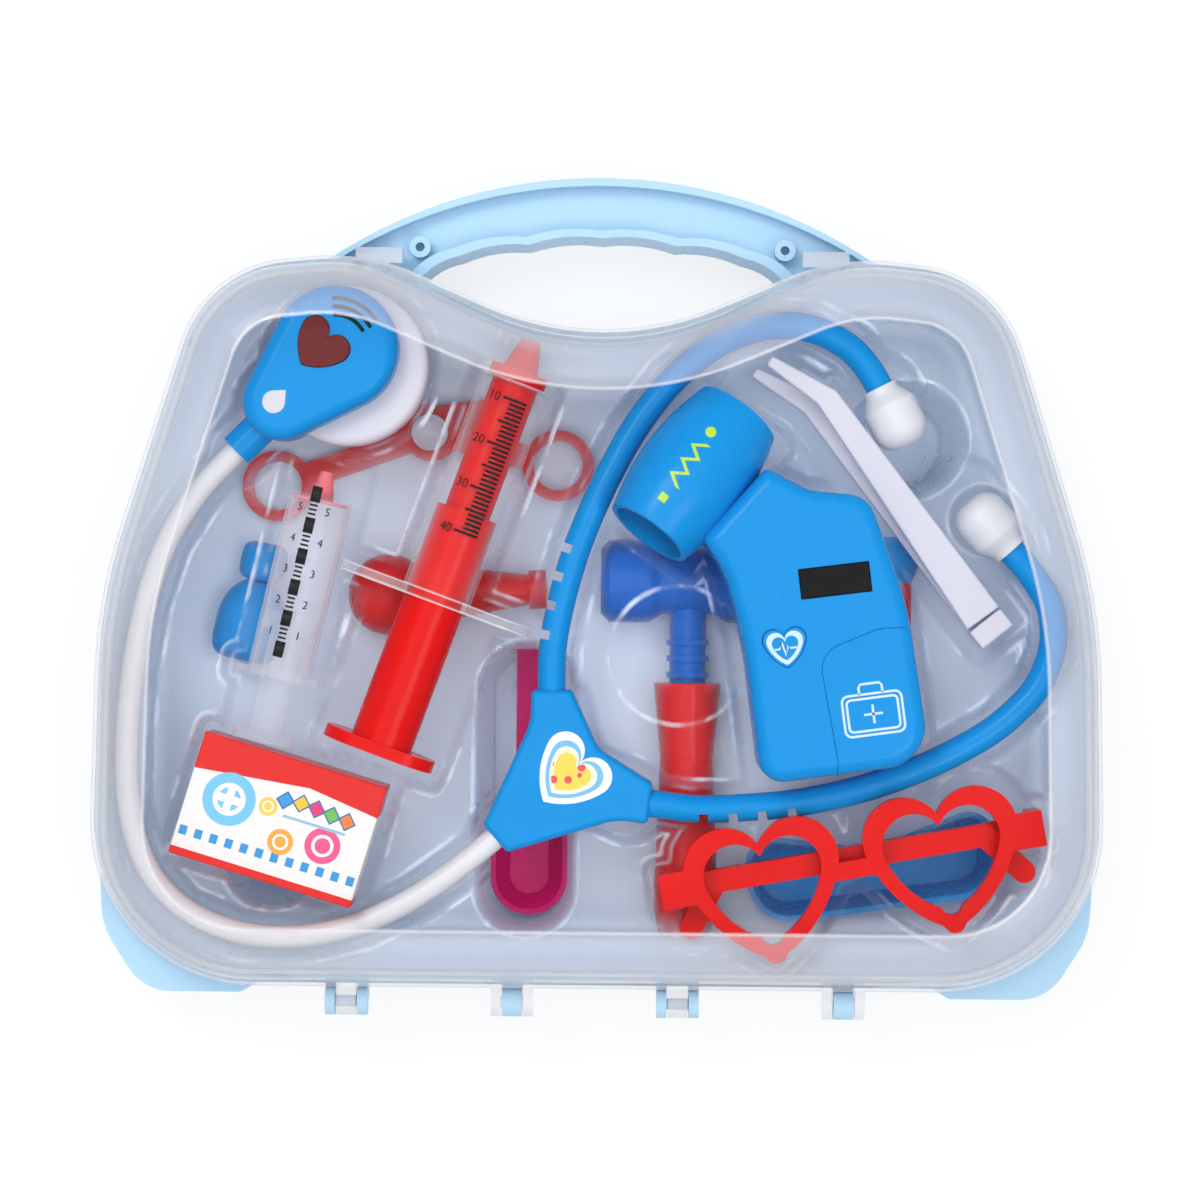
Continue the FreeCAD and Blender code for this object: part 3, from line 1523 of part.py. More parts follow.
def bottle_cap():
    z = floor_seat + bottle_radius
    start = bottle_length + bottle_shoulder + cap_gap
    end = start + cap_length
    bore = bottle_length + bottle_shoulder + bottle_neck_length + cap_gap
    outer = lathe([(start, 0.0), (start, cap_radius), (end, cap_radius), (end, 0.0)], z)
    inside = bottle_neck_radius + cap_gap
    inner = lathe([(start - overrun, 0.0), (start - overrun, inside), (bore, inside), (bore, 0.0)], z)
    return put(outer.cut(inner), spot(bottle_shares), bottle_turn)


def cup(points, radii, sections, wall):
    """Open cup with sloping walls through insets at heights, and a floor as thick as its walls."""
    outer = Part.makeLoft([rounded(points, radii, z, inset) for inset, z in sections], True, True)
    low, high = sections[0], sections[-1]
    inner = [(low[0] + wall, low[1] + wall)] + [(inset + wall, z) for inset, z in sections[1:-1]]
    inner = inner + [(high[0] + wall, high[1])]
    slope = (inner[-1][0] - inner[-2][0]) / (inner[-1][1] - inner[-2][1])
    inner = inner[:-1] + [(high[0] + wall + slope * overrun, high[1] + overrun)]
    return outer.cut(Part.makeLoft([rounded(points, radii, z, inset) for inset, z in inner], True, True))


def kidney_dish():
    points = [V(s[0] * dish_length, s[1] * dish_width, 0) for s in dish_outline_shares]
    low, high = floor_seat, floor_seat + dish_height
    dish = cup(points, list(dish_radii), [(dish_slope, low), (0.0, high)], dish_wall)
    return put(dish, spot(dish_shares), dish_turn)


# Otoscope: a handle along +X, a head on its end and an ear cone to one side
def otoscope_handle():
    z = floor_seat + otoscope_head_radius
    spigot = otoscope_length + otoscope_joint_length
    points = [(0.0, 0.0), (0.0, otoscope_radius), (otoscope_length, otoscope_radius),
              (otoscope_length, spigot_radius),
              (spigot, spigot_radius), (spigot, 0.0)]
    return put(lathe(points, z), spot(otoscope_shares), otoscope_turn)


def otoscope_head():
    z = floor_seat + otoscope_head_radius
    start, end = otoscope_length, otoscope_length + otoscope_head_length
    head = lathe([(start, 0.0), (start, otoscope_radius),
                  (start + otoscope_joint_length, otoscope_head_radius),
                  (end, otoscope_head_radius), (end, 0.0)], z)
    middle = V(start + otoscope_head_length / 2, 0, z)
    cone = Part.makeCone(otoscope_radius - otoscope_joint_gap, otoscope_cone_radius,
                         otoscope_head_radius + otoscope_cone_length,
                         middle, V(0, 1, 0))
    cone = cone.common(block(start, end, 0.0, end, 0.0, z + otoscope_radius))
    bore = Part.makeCylinder(spigot_radius + otoscope_joint_gap, otoscope_joint_length + otoscope_joint_gap,
                             V(start, 0, z), V(1, 0, 0))
    return put(head.fuse(cone).cut(bore), spot(otoscope_shares), otoscope_turn)


def spoon():
    low = base_floor + card_thick + pocket_floor_gap + tray_thick + seat_gap
    half_w, half_l = spoon_bowl_width / 2, spoon_bowl_length / 2
    points = [V(-half_w, -half_l, 0), V(half_w, -half_l, 0), V(half_w, half_l, 0), V(-half_w, half_l, 0)]
    rim = low + spoon_bowl_depth
    bowl = cup(points, [half_w] * len(points), [(spoon_slope, low), (0.0, rim)], spoon_wall)
    handle = block(-spoon_handle_width / 2, spoon_handle_width / 2, half_l - spoon_wall,
                   half_l + spoon_handle_length,
                   rim - spoon_handle_thick, rim)
    inside = prism(rounded(points, [half_w] * len(points), 0.0, spoon_wall), low + spoon_wall,
                   rim + overrun)
    return put(bowl.fuse(handle.cut(inside)).removeSplitter(), spot(spoon_shares))


NODES = {
    "back_shell": back_shell, "front_cover": lid, "backing_card": backing_card,
    "blister_tray": blister_tray,
    "chest_base": chest_base, "chest_back_plate": chest_back_plate, "chest_cover": chest_cover,
    "chest_heart_button": chest_heart_button, "chest_drop_inlay": chest_drop_inlay,
    "chest_board": chest_board,
    "chest_cells": chest_cells, "chest_speaker": chest_speaker, "chest_screws": chest_screws,
    "stethoscope_tube": stethoscope_tube, "y_junction": y_junction, "y_label": y_label,
    "upper_arm": lambda: headset_arm(1, upper_arm_shares),
    "right_arm": lambda: headset_arm(-1, right_arm_shares),
    "upper_ear_tip": lambda: ear_tip(upper_arm_shares), "right_ear_tip": lambda: ear_tip(right_arm_shares),
    "syringe_barrel": syringe_barrel, "syringe_core": syringe_core, "syringe_plunger": syringe_plunger,
    "dropper_barrel": dropper_barrel, "dropper_tip": dropper_tip, "dropper_plunger": dropper_plunger,
    "carton_sleeve": carton_sleeve, "carton_end_flaps": carton_end_flaps,
    "gun_front_shell": gun_front_shell, "gun_back_shell": gun_back_shell, "gun_nose": gun_nose,
    "gun_lamp": gun_lamp,
    "gun_display": gun_display, "gun_heart_key": gun_heart_key, "gun_battery_door": gun_battery_door,
    "gun_board": gun_board, "gun_cells": gun_cells, "gun_screws": gun_screws,
    "tweezers_fixed_arm": tweezers_fixed_arm, "tweezers_moving_arm": tweezers_moving_arm,
    "glasses_frame": glasses_frame, "glasses_left_temple": lambda: glasses_temple(-1),
    "glasses_right_temple": lambda: glasses_temple(1), "glasses_hinge_pins": glasses_hinge_pins,
    "hammer_head": hammer_head, "hammer_handle": hammer_handle,
    "scissors_lever_a": scissors_lever_a, "scissors_lever_b": scissors_lever_b,
    "scissors_rivet": scissors_rivet,
    "squeeze_bulb": squeeze_bulb, "bottle": bottle, "bottle_cap": bottle_cap, "kidney_dish": kidney_dish,
    "otoscope_handle": otoscope_handle, "otoscope_head": otoscope_head, "spoon": spoon,
}

os.makedirs("parts", exist_ok=True)
for name, make in NODES.items():
    shape = make()
    box = shape.BoundBox
    print(name, shape.isValid(), len(shape.Solids), round(shape.Volume), "x", round(box.XMin, 1),
          round(box.XMax, 1),
          "y", round(box.YMin, 1), round(box.YMax, 1), "z", round(box.ZMin, 1), round(box.ZMax, 1))
    shape.exportStep("parts/" + name + ".step")
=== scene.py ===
import json
import math

import bmesh
import bpy
import numpy as np
from bpy.props import FloatProperty, FloatVectorProperty, PointerProperty
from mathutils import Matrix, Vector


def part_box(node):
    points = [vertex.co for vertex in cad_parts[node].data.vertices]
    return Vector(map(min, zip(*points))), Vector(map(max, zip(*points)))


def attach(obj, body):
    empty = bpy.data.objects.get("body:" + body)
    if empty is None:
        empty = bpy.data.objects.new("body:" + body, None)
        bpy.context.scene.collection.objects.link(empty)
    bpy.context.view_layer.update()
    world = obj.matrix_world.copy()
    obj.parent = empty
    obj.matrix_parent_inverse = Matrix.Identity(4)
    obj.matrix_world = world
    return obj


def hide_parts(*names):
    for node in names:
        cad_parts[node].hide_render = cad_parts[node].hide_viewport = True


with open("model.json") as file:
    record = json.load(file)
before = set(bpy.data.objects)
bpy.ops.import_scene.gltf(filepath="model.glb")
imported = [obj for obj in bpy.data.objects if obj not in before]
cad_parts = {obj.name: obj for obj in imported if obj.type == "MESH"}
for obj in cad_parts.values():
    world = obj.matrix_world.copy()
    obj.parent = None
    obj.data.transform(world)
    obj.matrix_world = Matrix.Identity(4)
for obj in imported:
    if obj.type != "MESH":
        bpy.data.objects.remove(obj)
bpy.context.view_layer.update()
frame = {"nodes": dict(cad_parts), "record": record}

bl_info = {
    "name": "Toy doctor case",
    "version": (1, 0, 0),
    "blender": (4, 5, 0),
    "location": "3D View > Sidebar > Doctor Case",
    "description": "Dresses a packed toy doctor case with its finishes, clear tray and printed details",
    "category": "Object",
}

# Lengths are in millimetres and turns about Z in degrees, unless a comment says otherwise.
# MM turns a length into metres, and SEAT is the underside of the toys that lie on the tray.
MM = 0.001
SEAT = 28.2
TUBE_HEIGHT = 33.1
PARTING_HEIGHT = 34.0

# Places and turns of the toys
ORIGIN = (0.0, 0.0)
CHEST = (-70.9, 63.5)
CHEST_RADIUS = 22.5
COVER = (-73.7, 67.7)
CHEST_TURN = 225.0
JUNCTION = (-8.1, -50.3)
JUNCTION_TURN = 41.5
LABEL_TURN = -43.0
LABEL_SIZE = (20.6, 20.0)
SYRINGE = (-45.1, 0.1)
SYRINGE_TURN = 70.1
SYRINGE_RADIUS = 10.0
DROPPER = (-88.9, -22.0)
DROPPER_TURN = 77.0
DROPPER_RADIUS = 9.0
CARTON = (-88.3, -63.1)
CARTON_TURN = -16.7
GUN = (60.1, -9.6)
GUN_TURN = 8.0
GUN_SIZE = (60.0, 90.0)
GUN_KEY_SHARE = (-0.150, -0.049)
GUN_KEY_SIZE = (9.8, 9.0)
GUN_DOOR = (75.3, -31.6)
NOSE = (25.7, 33.9)
NOSE_TURN = 53.5
NOSE_PRINT_LOW = 50.0
TWEEZERS = (108.0, -5.9)
TWEEZERS_TURN = 129.0
GLASSES = (72.1, -77.8)
GLASSES_TURN = 10.3
LENS_OFFSET = 25.2
LENS_SIZE = (46.0, 44.0)
BOTTLE = (-102.03, -19.49)
BOTTLE_TURN = 78.0
BOTTLE_RADIUS = 9.8

# Routes of the stethoscope's tube and arms, and the thermometer's outline as shares of its size
TUBE_ROUTE = (
    (-97.73, 43.7), (-104.8, 36.63), (-113.4, 27.3), (-121.6, 14.0), (-127.2, -3.0), (-130.6, -22.0),
    (-132.2, -42.0), (-131.6, -61.0), (-126.6, -78.0), (-115.4, -90.0), (-99.6, -96.2), (-82.4, -97.0),
    (-66.0, -93.0), (-51.0, -85.8), (-35.81, -74.86), (-23.82, -64.26),
)
UPPER_ARM = (
    (-13.0, -26.5), (-13.0, -14.5), (-10.3, -0.5), (-6.2, 14.0), (0.2, 29.5), (9.0, 46.5), (19.5, 60.6),
    (31.9, 71.1), (46.0, 76.5), (59.5, 75.7), (70.0, 70.2), (75.8, 63.3), (79.8, 55.5),
)
RIGHT_ARM = (
    (15.0, -58.1), (26.9, -59.6), (35.1, -59.5), (56.1, -57.9), (76.0, -53.3), (94.8, -46.1), (111.7, -36.5),
    (123.4, -25.0), (127.8, -13.0), (127.0, -1.5), (120.8, 7.8), (112.6, 16.8),
)
GUN_OUTLINE = (
    (-0.242, 0.500), (-0.050, 0.433), (0.225, 0.417), (0.408, 0.089), (0.525, -0.394), (-0.250, -0.467),
    (-0.333, -0.044), (-0.425, 0.178), (-0.533, 0.283),
)

# Case outline: the dip under the handle, then the corners of the right side and their radii
CASE_DIP = (0.0, 67.2)
CASE_DIP_RADIUS = 105.0
CASE_CORNERS = ((66.0, 95.5), (111.0, 91.0), (140.3, -2.0), (142.5, -110.0))
CASE_RADII = (60.0, 34.0, 150.0, 46.0)

# Lid: how far in from the outline its slope, crease and frosted border reach, and the cuts of its flat panel
LID_SLOPE = 11.0
LID_CREASE = 18.4
LID_BORDER = 19.0
LID_PANEL_LOW = 60.0
LID_CUT_STEP = 7.0
LID_CUT_REACH = (142.0, 106.0)

# Formed tray: its sheet, border and walls, then pockets, recess and cup as places with radii
TRAY_INSET = 3.9
TRAY_FLOOR = 28.0
TRAY_SHEET = 0.45
TRAY_LENGTH = 199.0
TRAY_END_GAP = 0.05
TRAY_BORDER = (9.0, 13.0)
TRAY_FLANGE = 17.0
TRAY_WALL = (0.5, 3.6)
LONG_POCKET = ((-19.95, -82.0), (-19.95, -27.1))
LONG_POCKET_RADIUS = 14.5
ROUND_POCKETS = ((86.4, 44.5, 17.0), (-91.2, -75.6, 14.0))
POCKET_FLOOR = 3.7
POCKET_WALL = 5.0
RECESS = (108.2, 22.3, 10.0)
RECESS_DROP = 3.4
RECESS_WALL = 2.6
CUP = (22.4, -16.7, 19.5)

# Toys on the tray as wide lines: place, turn, points of the line in that frame, half width
TOY_LINES = (
    (COVER, CHEST_TURN, ((0.0, 0.0), (21.0, 0.0)), 11.5),
    (COVER, CHEST_TURN, ((0.0, 0.0), (40.0, 0.0)), 7.0),
    (ORIGIN, 0.0, TUBE_ROUTE, 4.2),
    (ORIGIN, 0.0, UPPER_ARM, 4.6),
    (ORIGIN, 0.0, RIGHT_ARM, 4.6),
    (ORIGIN, 0.0, ((78.4, 58.0), (85.6, 43.6)), 8.4),
    (ORIGIN, 0.0, ((114.4, 14.4), (103.0, 29.0)), 8.4),
    (JUNCTION, JUNCTION_TURN, ((-26.0, 0.0), (0.0, 0.0)), 6.5),
    (JUNCTION, JUNCTION_TURN, ((8.0, -17.0), (0.0, 0.0), (8.0, 17.0)), 9.0),
    (TWEEZERS, TWEEZERS_TURN, ((77.0, 0.0), (94.6, 7.1)), 6.6),
    (GLASSES, GLASSES_TURN, ((-38.0, 5.0), (-47.3, -6.8)), 4.4),
    (GLASSES, GLASSES_TURN, ((38.0, 5.0), (47.3, -6.8)), 4.4),
)
# Toys on the tray as rectangles: place, turn, lowest and highest corner in that frame, margin
TOY_BOXES = (
    (SYRINGE, SYRINGE_TURN, (-2.0, -9.6), (64.0, 9.6), 1.2),
    (SYRINGE, SYRINGE_TURN, (-49.0, -10.0), (0.0, 10.0), 1.2),
    (SYRINGE, SYRINGE_TURN, (-49.5, -16.4), (-6.0, 16.4), 1.0),
    (SYRINGE, SYRINGE_TURN, (-4.0, -28.6), (1.5, 28.6), 0.8),
    (SYRINGE, SYRINGE_TURN, (60.0, -5.0), (76.0, 5.0), 1.0),
    (DROPPER, DROPPER_TURN, (-21.0, -9.4), (58.5, 9.4), 1.0),
    (DROPPER, DROPPER_TURN, (-3.2, -13.0), (1.0, 13.0), 0.8),
    (CARTON, CARTON_TURN, (-26.8, -18.0), (26.8, 18.0), 0.6),
    (NOSE, NOSE_TURN, (-21.6, -15.0), (21.6, 15.0), 1.4),
    (TWEEZERS, TWEEZERS_TURN, (-6.5, -8.4), (78.0, 6.2), 1.2),
    (GLASSES, GLASSES_TURN, (-54.6, -0.4), (54.6, 10.4), 0.8),
)
GUN_MARGIN = 1.6
LENS_MARGIN = 0.6
LOWER_TOYS = (
    "hammer_head", "hammer_handle", "scissors_lever_a", "scissors_lever_b", "squeeze_bulb", "bottle",
    "bottle_cap", "kidney_dish", "otoscope_handle", "otoscope_head", "spoon",
)

# Prints: how far they stand off a barrel, their sheet there, and their height on a flat face
PRINT_LIFT = 0.07
PRINT_SHEET = 0.05
PRINT_RISE = 0.06

# Angles past which an edge shades sharp on plain, bevelled and round pieces, and past which a bevel eases it
SMOOTH_ANGLE = 40.0
BEVELLED_SMOOTH_ANGLE = 32.0
ROUND_SMOOTH_ANGLE = 50.0
BEVEL_ANGLE = 38.0

# Stage, in metres and watts: camera, then each lamp's name, place, size and power
SENSOR = 36.0
VIEW_WIDTH = 0.336
CAMERA_PLACE = (0.0003, -0.0013)
CAMERA_TURN = 0.6
LAMPS = (("softbox", (-0.4, 0.5, 1.08), 0.45, 4.2), ("fill", (0.52, -0.38, 1.08), 0.5, 2.5))
FLOOR_REACH = 2.5
FLOOR_HEIGHT = -0.0004
FLOOR_GLOW = 0.76

WHITE = (1.0, 1.0, 1.0, 1.0)
STEEL = (0.55, 0.56, 0.58, 1.0)
BODY_OF = {node: body for body, nodes in frame["record"]["behaviour"]["bodies"].items() for node in nodes}


def tone(red, green, blue):
    """Linear colour of an sRGB colour given from 0 to 255."""
    values = np.array((red, green, blue)) / 255.0
    linear = np.where(values <= 0.04045, values / 12.92, ((values + 0.055) / 1.055) ** 2.4)
    return (*linear.tolist(), 1.0)


def shaded(colour, share):
    """A colour made darker or lighter by a share, no brighter than white."""
    return (*(min(1.0, c * share) for c in colour[:3]), 1.0)


class Value:
    """A shader socket: arithmetic on it adds Math nodes to its material."""

    def __init__(self, finish, socket):
        self.finish = finish
        self.socket = socket

    def math(self, operation, first, second=0.0):
        return self.finish.node("ShaderNodeMath", {"operation": operation}, {0: first, 1: second})

    def __add__(self, other):
        return self.math("ADD", self, other)

    def __radd__(self, other):
        return self.math("ADD", other, self)

    def __sub__(self, other):
        return self.math("SUBTRACT", self, other)

    def __rsub__(self, other):
        return self.math("SUBTRACT", other, self)

    def __mul__(self, other):
        return self.math("MULTIPLY", self, other)

    def __rmul__(self, other):
        return self.math("MULTIPLY", other, self)

    def __truediv__(self, other):
        return self.math("DIVIDE", self, other)

    def __rtruediv__(self, other):
        return self.math("DIVIDE", other, self)

    def __pow__(self, other):
        return self.math("POWER", self, other)

    def __abs__(self):
        return self.math("ABSOLUTE", self)

    def __lt__(self, other):
        return self.math("LESS_THAN", self, other)

    def __gt__(self, other):
        return self.math("GREATER_THAN", self, other)

    def low(self, other):
        return self.math("MINIMUM", self, other)

    def high(self, other):
        return self.math("MAXIMUM", self, other)

    def fold(self, half):
        """Zigzag between zero and half."""
        return self.math("PINGPONG", self, half)

    def clamp(self):
        return self.high(0.0).low(1.0)


class Finish:
    """Shader nodes of a new material or world, with helpers that add to them."""

    def __init__(self, name, blocks="materials", shader="Principled BSDF"):
        self.block = getattr(bpy.data, blocks).new(name)
        self.block.use_nodes = True
        self.tree = self.block.node_tree
        self.shader = self.tree.nodes[shader]

    def put(self, node, key, value):
        if isinstance(value, Value):
            self.tree.links.new(value.socket, node.inputs[key])
        else:
            node.inputs[key].default_value = value

    def node(self, kind, settings=None, inputs=None, out=0):
        """Add a node: its settings first, then the values or links of its sockets."""
        node = self.tree.nodes.new(kind)
        for key, value in (settings or {}).items():
            setattr(node, key, value)
        for key, value in (inputs or {}).items():
            self.put(node, key, value)
        return Value(self, node.outputs[out])

    def mix(self, factor, first, second):
        return self.node("ShaderNodeMix", {"data_type": "RGBA"}, {0: factor, 6: first, 7: second}, 2)

    def layers(self, colour, prints):
        """A colour with prints over it in order, each a mask and its ink."""
        for mask, ink in prints:
            colour = self.mix(mask, colour, ink)
        return colour

    def coords(self):
        return self.node("ShaderNodeTexCoord", out="Object")

    def place(self, centre=ORIGIN, turn=0.0):
        """Object coordinates in millimetres about a centre, turned about Z: x, y and z values."""
        middle = (centre[0] * MM, centre[1] * MM, 0.0)
        moved = self.node("ShaderNodeVectorMath", {"operation": "SUBTRACT"}, {0: self.coords(), 1: middle})
        turned = self.node("ShaderNodeVectorRotate", {"rotation_type": "Z_AXIS"},
                           {"Vector": moved, "Angle": -math.radians(turn)})
        scaled = self.node("ShaderNodeVectorMath", {"operation": "SCALE"}, {0: turned, "Scale": 1.0 / MM})
        split = self.node("ShaderNodeSeparateXYZ", None, {0: scaled}).socket.node
        return [Value(self, output) for output in split.outputs]

    def noise(self, scale, detail=2.0, rough=0.5):
        return self.node("ShaderNodeTexNoise", None,
                         {"Vector": self.coords(), "Scale": scale, "Detail": detail, "Roughness": rough})

    def bump(self, height, strength, distance):
        return self.node("ShaderNodeBump", None,
                         {"Height": height, "Strength": strength, "Distance": distance * MM})

    def set(self, **sockets):
        for key, value in sockets.items():
            self.put(self.shader, key.replace("_", " "), value)


def uneven(value, middle, spread):
    """A noise value spread about a middle."""
    return value * spread + (middle - spread / 2.0)


def near(value, place, width):
    """One at a place and falling to zero at a width from it."""
    return (1.0 - abs(value - place) / width).high(0.0)


def reach(x, y, centre):
    """Distance of a surface's points to a centre."""
    return ((x - centre[0]) ** 2.0 + (y - centre[1]) ** 2.0) ** 0.5


def field(finish, name):
    """Value of a float attribute stored on the piece's points."""
    return finish.node("ShaderNodeAttribute", {"attribute_name": name}, out="Fac")


def moulded(name, colour, rough=0.26, speck=0.03, coat=0.0, ink=None):
    """Moulded plastic: faint colour drift, uneven gloss, a fine orange-peel bump and any print of ink."""
    finish = Finish(name)
    drift = finish.noise(38.0)
    shade = finish.mix(drift, shaded(colour, 1.0 - speck), shaded(colour, 1.0 + speck))
    if ink:
        shade = finish.layers(shade, (ink(finish),))
    smear = finish.noise(420.0)
    peel = finish.noise(1800.0, detail=1.0)
    finish.set(Base_Color=shade, Roughness=uneven(smear, rough, 0.14),
               Normal=finish.bump(peel, strength=0.05, distance=0.05),
               Specular_IOR_Level=0.1, Coat_Weight=coat, Coat_Roughness=0.08)
    return finish.block


def nose_print(finish):
    """Print on the nose: a square, a run of zigzags and a dot along its axis, on the upper side only."""
    x, y, z = finish.place(NOSE, NOSE_TURN)
    line, square_half, dot_radius = 0.75, 1.2, 1.5
    zigzag = (abs(y - 1.2 - (x + 40.0).fold(2.4) * 1.5) < line) * (x > -6.5) * (x < 8.0)
    square = (abs(x + 10.8) < square_half) * (abs(y - 2.6) < square_half)
    dot = reach(x, y, (11.4, 3.0)) < dot_radius
    return zigzag.high(square).high(dot) * (z > NOSE_PRINT_LOW), tone(186, 222, 72)


def clear_plastic(name, colour, haze, edge, power, rough=0.1, wave=0.12, marks=None):
    """Clear plastic: nearly see-through face on, milky where the wall turns away, and whiter where marks
    paints haze, highlights or lifted shade.
    """
    finish = Finish(name)
    facing = finish.node("ShaderNodeLayerWeight", None, {"Blend": 0.5}, "Facing")
    drift = finish.noise(60.0)
    alpha = (facing ** power) * edge + drift * haze + haze * 0.5
    if marks:
        alpha = alpha + marks(finish)
    ripple = finish.noise(110.0, detail=1.0)
    finish.set(Base_Color=colour, Roughness=uneven(drift, rough, 0.08), Alpha=alpha.low(0.95),
               Normal=finish.bump(ripple, strength=wave, distance=1.2), Coat_Weight=0.6, Coat_Roughness=0.06)
    return finish.block


def frosted_border_and_glint(finish):
    """Haze of the lid's rounded border, partly frost of the plastic and partly painted light that lifts the
    shade of the shelf beneath, and a painted highlight along the crease where its flat panel begins.
    """
    inset = field(finish, "inset")
    band = ((LID_BORDER - inset) * 1.4).clamp()
    slope = ((LID_SLOPE - inset) * 0.12).clamp()
    # Band and slope are haze whitened over the shaded shelf; the crease term is a painted highlight line.
    return band * 0.14 + slope * 0.2 + near(inset, LID_CREASE, 0.7) * 0.26


def wing_glints(finish):
    """Painted highlights: whitish glints on the syringe's finger wings, along their edges and along the
    barrel's front edge.
    """
    x, y, _ = finish.place(SYRINGE, SYRINGE_TURN)
    # Painted highlights: the wings are whitened, and glint lines run along their edges and the barrel's front
    # edge.
    wings = (x < 0.15) * (x > -3.2) * (abs(y) > 8.0)
    rim_glints = near(x, -2.6, 0.5) + near(x, -0.1, 0.4) + near(x, 62.4, 0.7)
    return wings * 0.14 + rim_glints * 0.36


def tray_painted_glints_and_lift(finish):
    """Painted highlights: whitish glints at the foot and top of the tray's walls, round the cup and round its
    pockets, broken along their length. Also a whiter border and a veil of milky haze away from the lower
    toys, painted to lift the shade deep in the case.
    """
    gap = field(finish, "toy_gap")
    pocket = field(finish, "pocket_gap")
    cup = field(finish, "cup_gap")
    # Painted lift of shade: whiter near the border, and a milky veil where no lower toy lies under the sheet.
    border_lift = ((TRAY_FLANGE - field(finish, "edge_gap")) * 0.12).clamp()
    shade_lift_veil = (1.0 - field(finish, "over_toys")) * 0.09
    broken = ((finish.noise(70.0) - 0.48) * 7.0).high(0.05).low(1.0)
    # Painted highlights along the walls, round the cup and round the pockets.
    walls = near(gap, 0.8, 0.8) * 0.4 + near(gap, 3.5, 0.9) * 0.75 + near(cup, 0.0, 1.0) * 0.75
    drops = near(pocket, 0.2, 0.9) * 0.7 + near(pocket, -5.2, 1.0) * 0.4
    return walls * broken + drops * (broken * 0.7 + 0.3) + border_lift * 0.3 + shade_lift_veil


def card_stock(name, colour):
    """Coated card: fibre specks and a soft sheen."""
    finish = Finish(name)
    fibre = finish.noise(900.0, detail=4.0, rough=0.65)
    finish.set(Base_Color=finish.mix(fibre, shaded(colour, 0.93), colour), Roughness=uneven(fibre, 0.6, 0.2),
               Normal=finish.bump(fibre, strength=0.15, distance=0.05))
    return finish.block


def brushed_metal(name):
    """Plated steel with fine drawn streaks."""
    finish = Finish(name)
    x = finish.place()[0]
    streak = finish.node("ShaderNodeTexNoise", {"noise_dimensions": "1D"}, {"W": x * 9.0, "Detail": 2.0})
    finish.set(Base_Color=STEEL, Metallic=1.0, Roughness=uneven(streak, 0.32, 0.2))
    return finish.block


def soft_rubber(name, colour):
    """Soft vinyl: satin, with faint cloudy drift and a rubbed sheen."""
    finish = Finish(name)
    cloud = finish.noise(150.0, detail=3.0)
    grain = finish.noise(2600.0, detail=1.0)
    finish.set(Base_Color=finish.mix(cloud, shaded(colour, 0.92), colour),
               Roughness=uneven(cloud, 0.375, 0.15), Normal=finish.bump(grain, strength=0.1, distance=0.04))
    return finish.block


def black_ink(name):
    """Printed ink with a slightly uneven gloss."""
    finish = Finish(name)
    grain = finish.noise(1500.0)
    finish.set(Base_Color=finish.mix(grain, (0.006, 0.006, 0.007, 1.0), (0.02, 0.02, 0.022, 1.0)),
               Roughness=uneven(grain, 0.45, 0.2), Specular_IOR_Level=0.15)
    return finish.block


def printed_carton(name):
    """Printed carton: red header and foot bands, checks, and round medicine motifs on white."""
    finish = Finish(name)
    x, y, _ = finish.place(CARTON, CARTON_TURN)
    white, red = tone(240, 238, 236), tone(222, 38, 34)
    header = abs(x - 6.0) * 0.12 + y > 11.0
    checks = (y < -9.0) * (y > -11.6) * (x.fold(2.2) > 1.1)
    margin, foot = y < -13.2, y < -15.2
    prints = [(header, red), (checks, tone(60, 150, 215)), (margin, tone(235, 232, 230)), (foot, red)]
    badge, bar_length, bar_width = (-14.5, 1.5), 3.4, 1.1
    spots = (((14.0, -3.2), 5.0, tone(236, 90, 140)), ((2.5, -5.6), 3.6, tone(246, 168, 70)),
             (badge, 7.4, tone(120, 196, 232)), ((-3.6, 2.8), 2.6, tone(250, 205, 90)))
    for centre, radius, ink in spots:
        out = reach(x, y, centre)
        prints.append((out < radius, ink))
        prints.append(((out < radius * 0.62) * (out > radius * 0.44), white))
    across, along = abs(x - badge[0]), abs(y - badge[1])
    upright = (across < bar_width) * (along < bar_length)
    prints.append((upright.high((across < bar_length) * (along < bar_width)), white))
    beads = ((0.5, tone(64, 156, 222)), (5.0, tone(246, 196, 60)), (9.5, tone(226, 64, 120)),
             (14.0, tone(110, 190, 90)), (18.5, tone(240, 130, 60)))
    for middle, ink in beads:
        lozenge = abs(x - middle) + abs(y - 6.4 + abs(x - 6.0) * 0.1)
        prints.append((lozenge < 2.7, tone(70, 110, 170)))
        prints.append((lozenge < 2.1, ink))
    rule = (abs(y - 1.6) < 0.4) * (x > 1.0) * (x < 19.0)
    prints.append((rule, tone(150, 190, 220)))
    board = finish.mix(finish.noise(900.0, detail=3.0), tone(232, 230, 230), white)
    wear = finish.noise(300.0)
    finish.set(Base_Color=finish.layers(board, prints), Roughness=uneven(wear, 0.3, 0.16),
               Normal=finish.bump(wear, strength=0.05, distance=0.1), Specular_IOR_Level=0.2)
    return finish.block


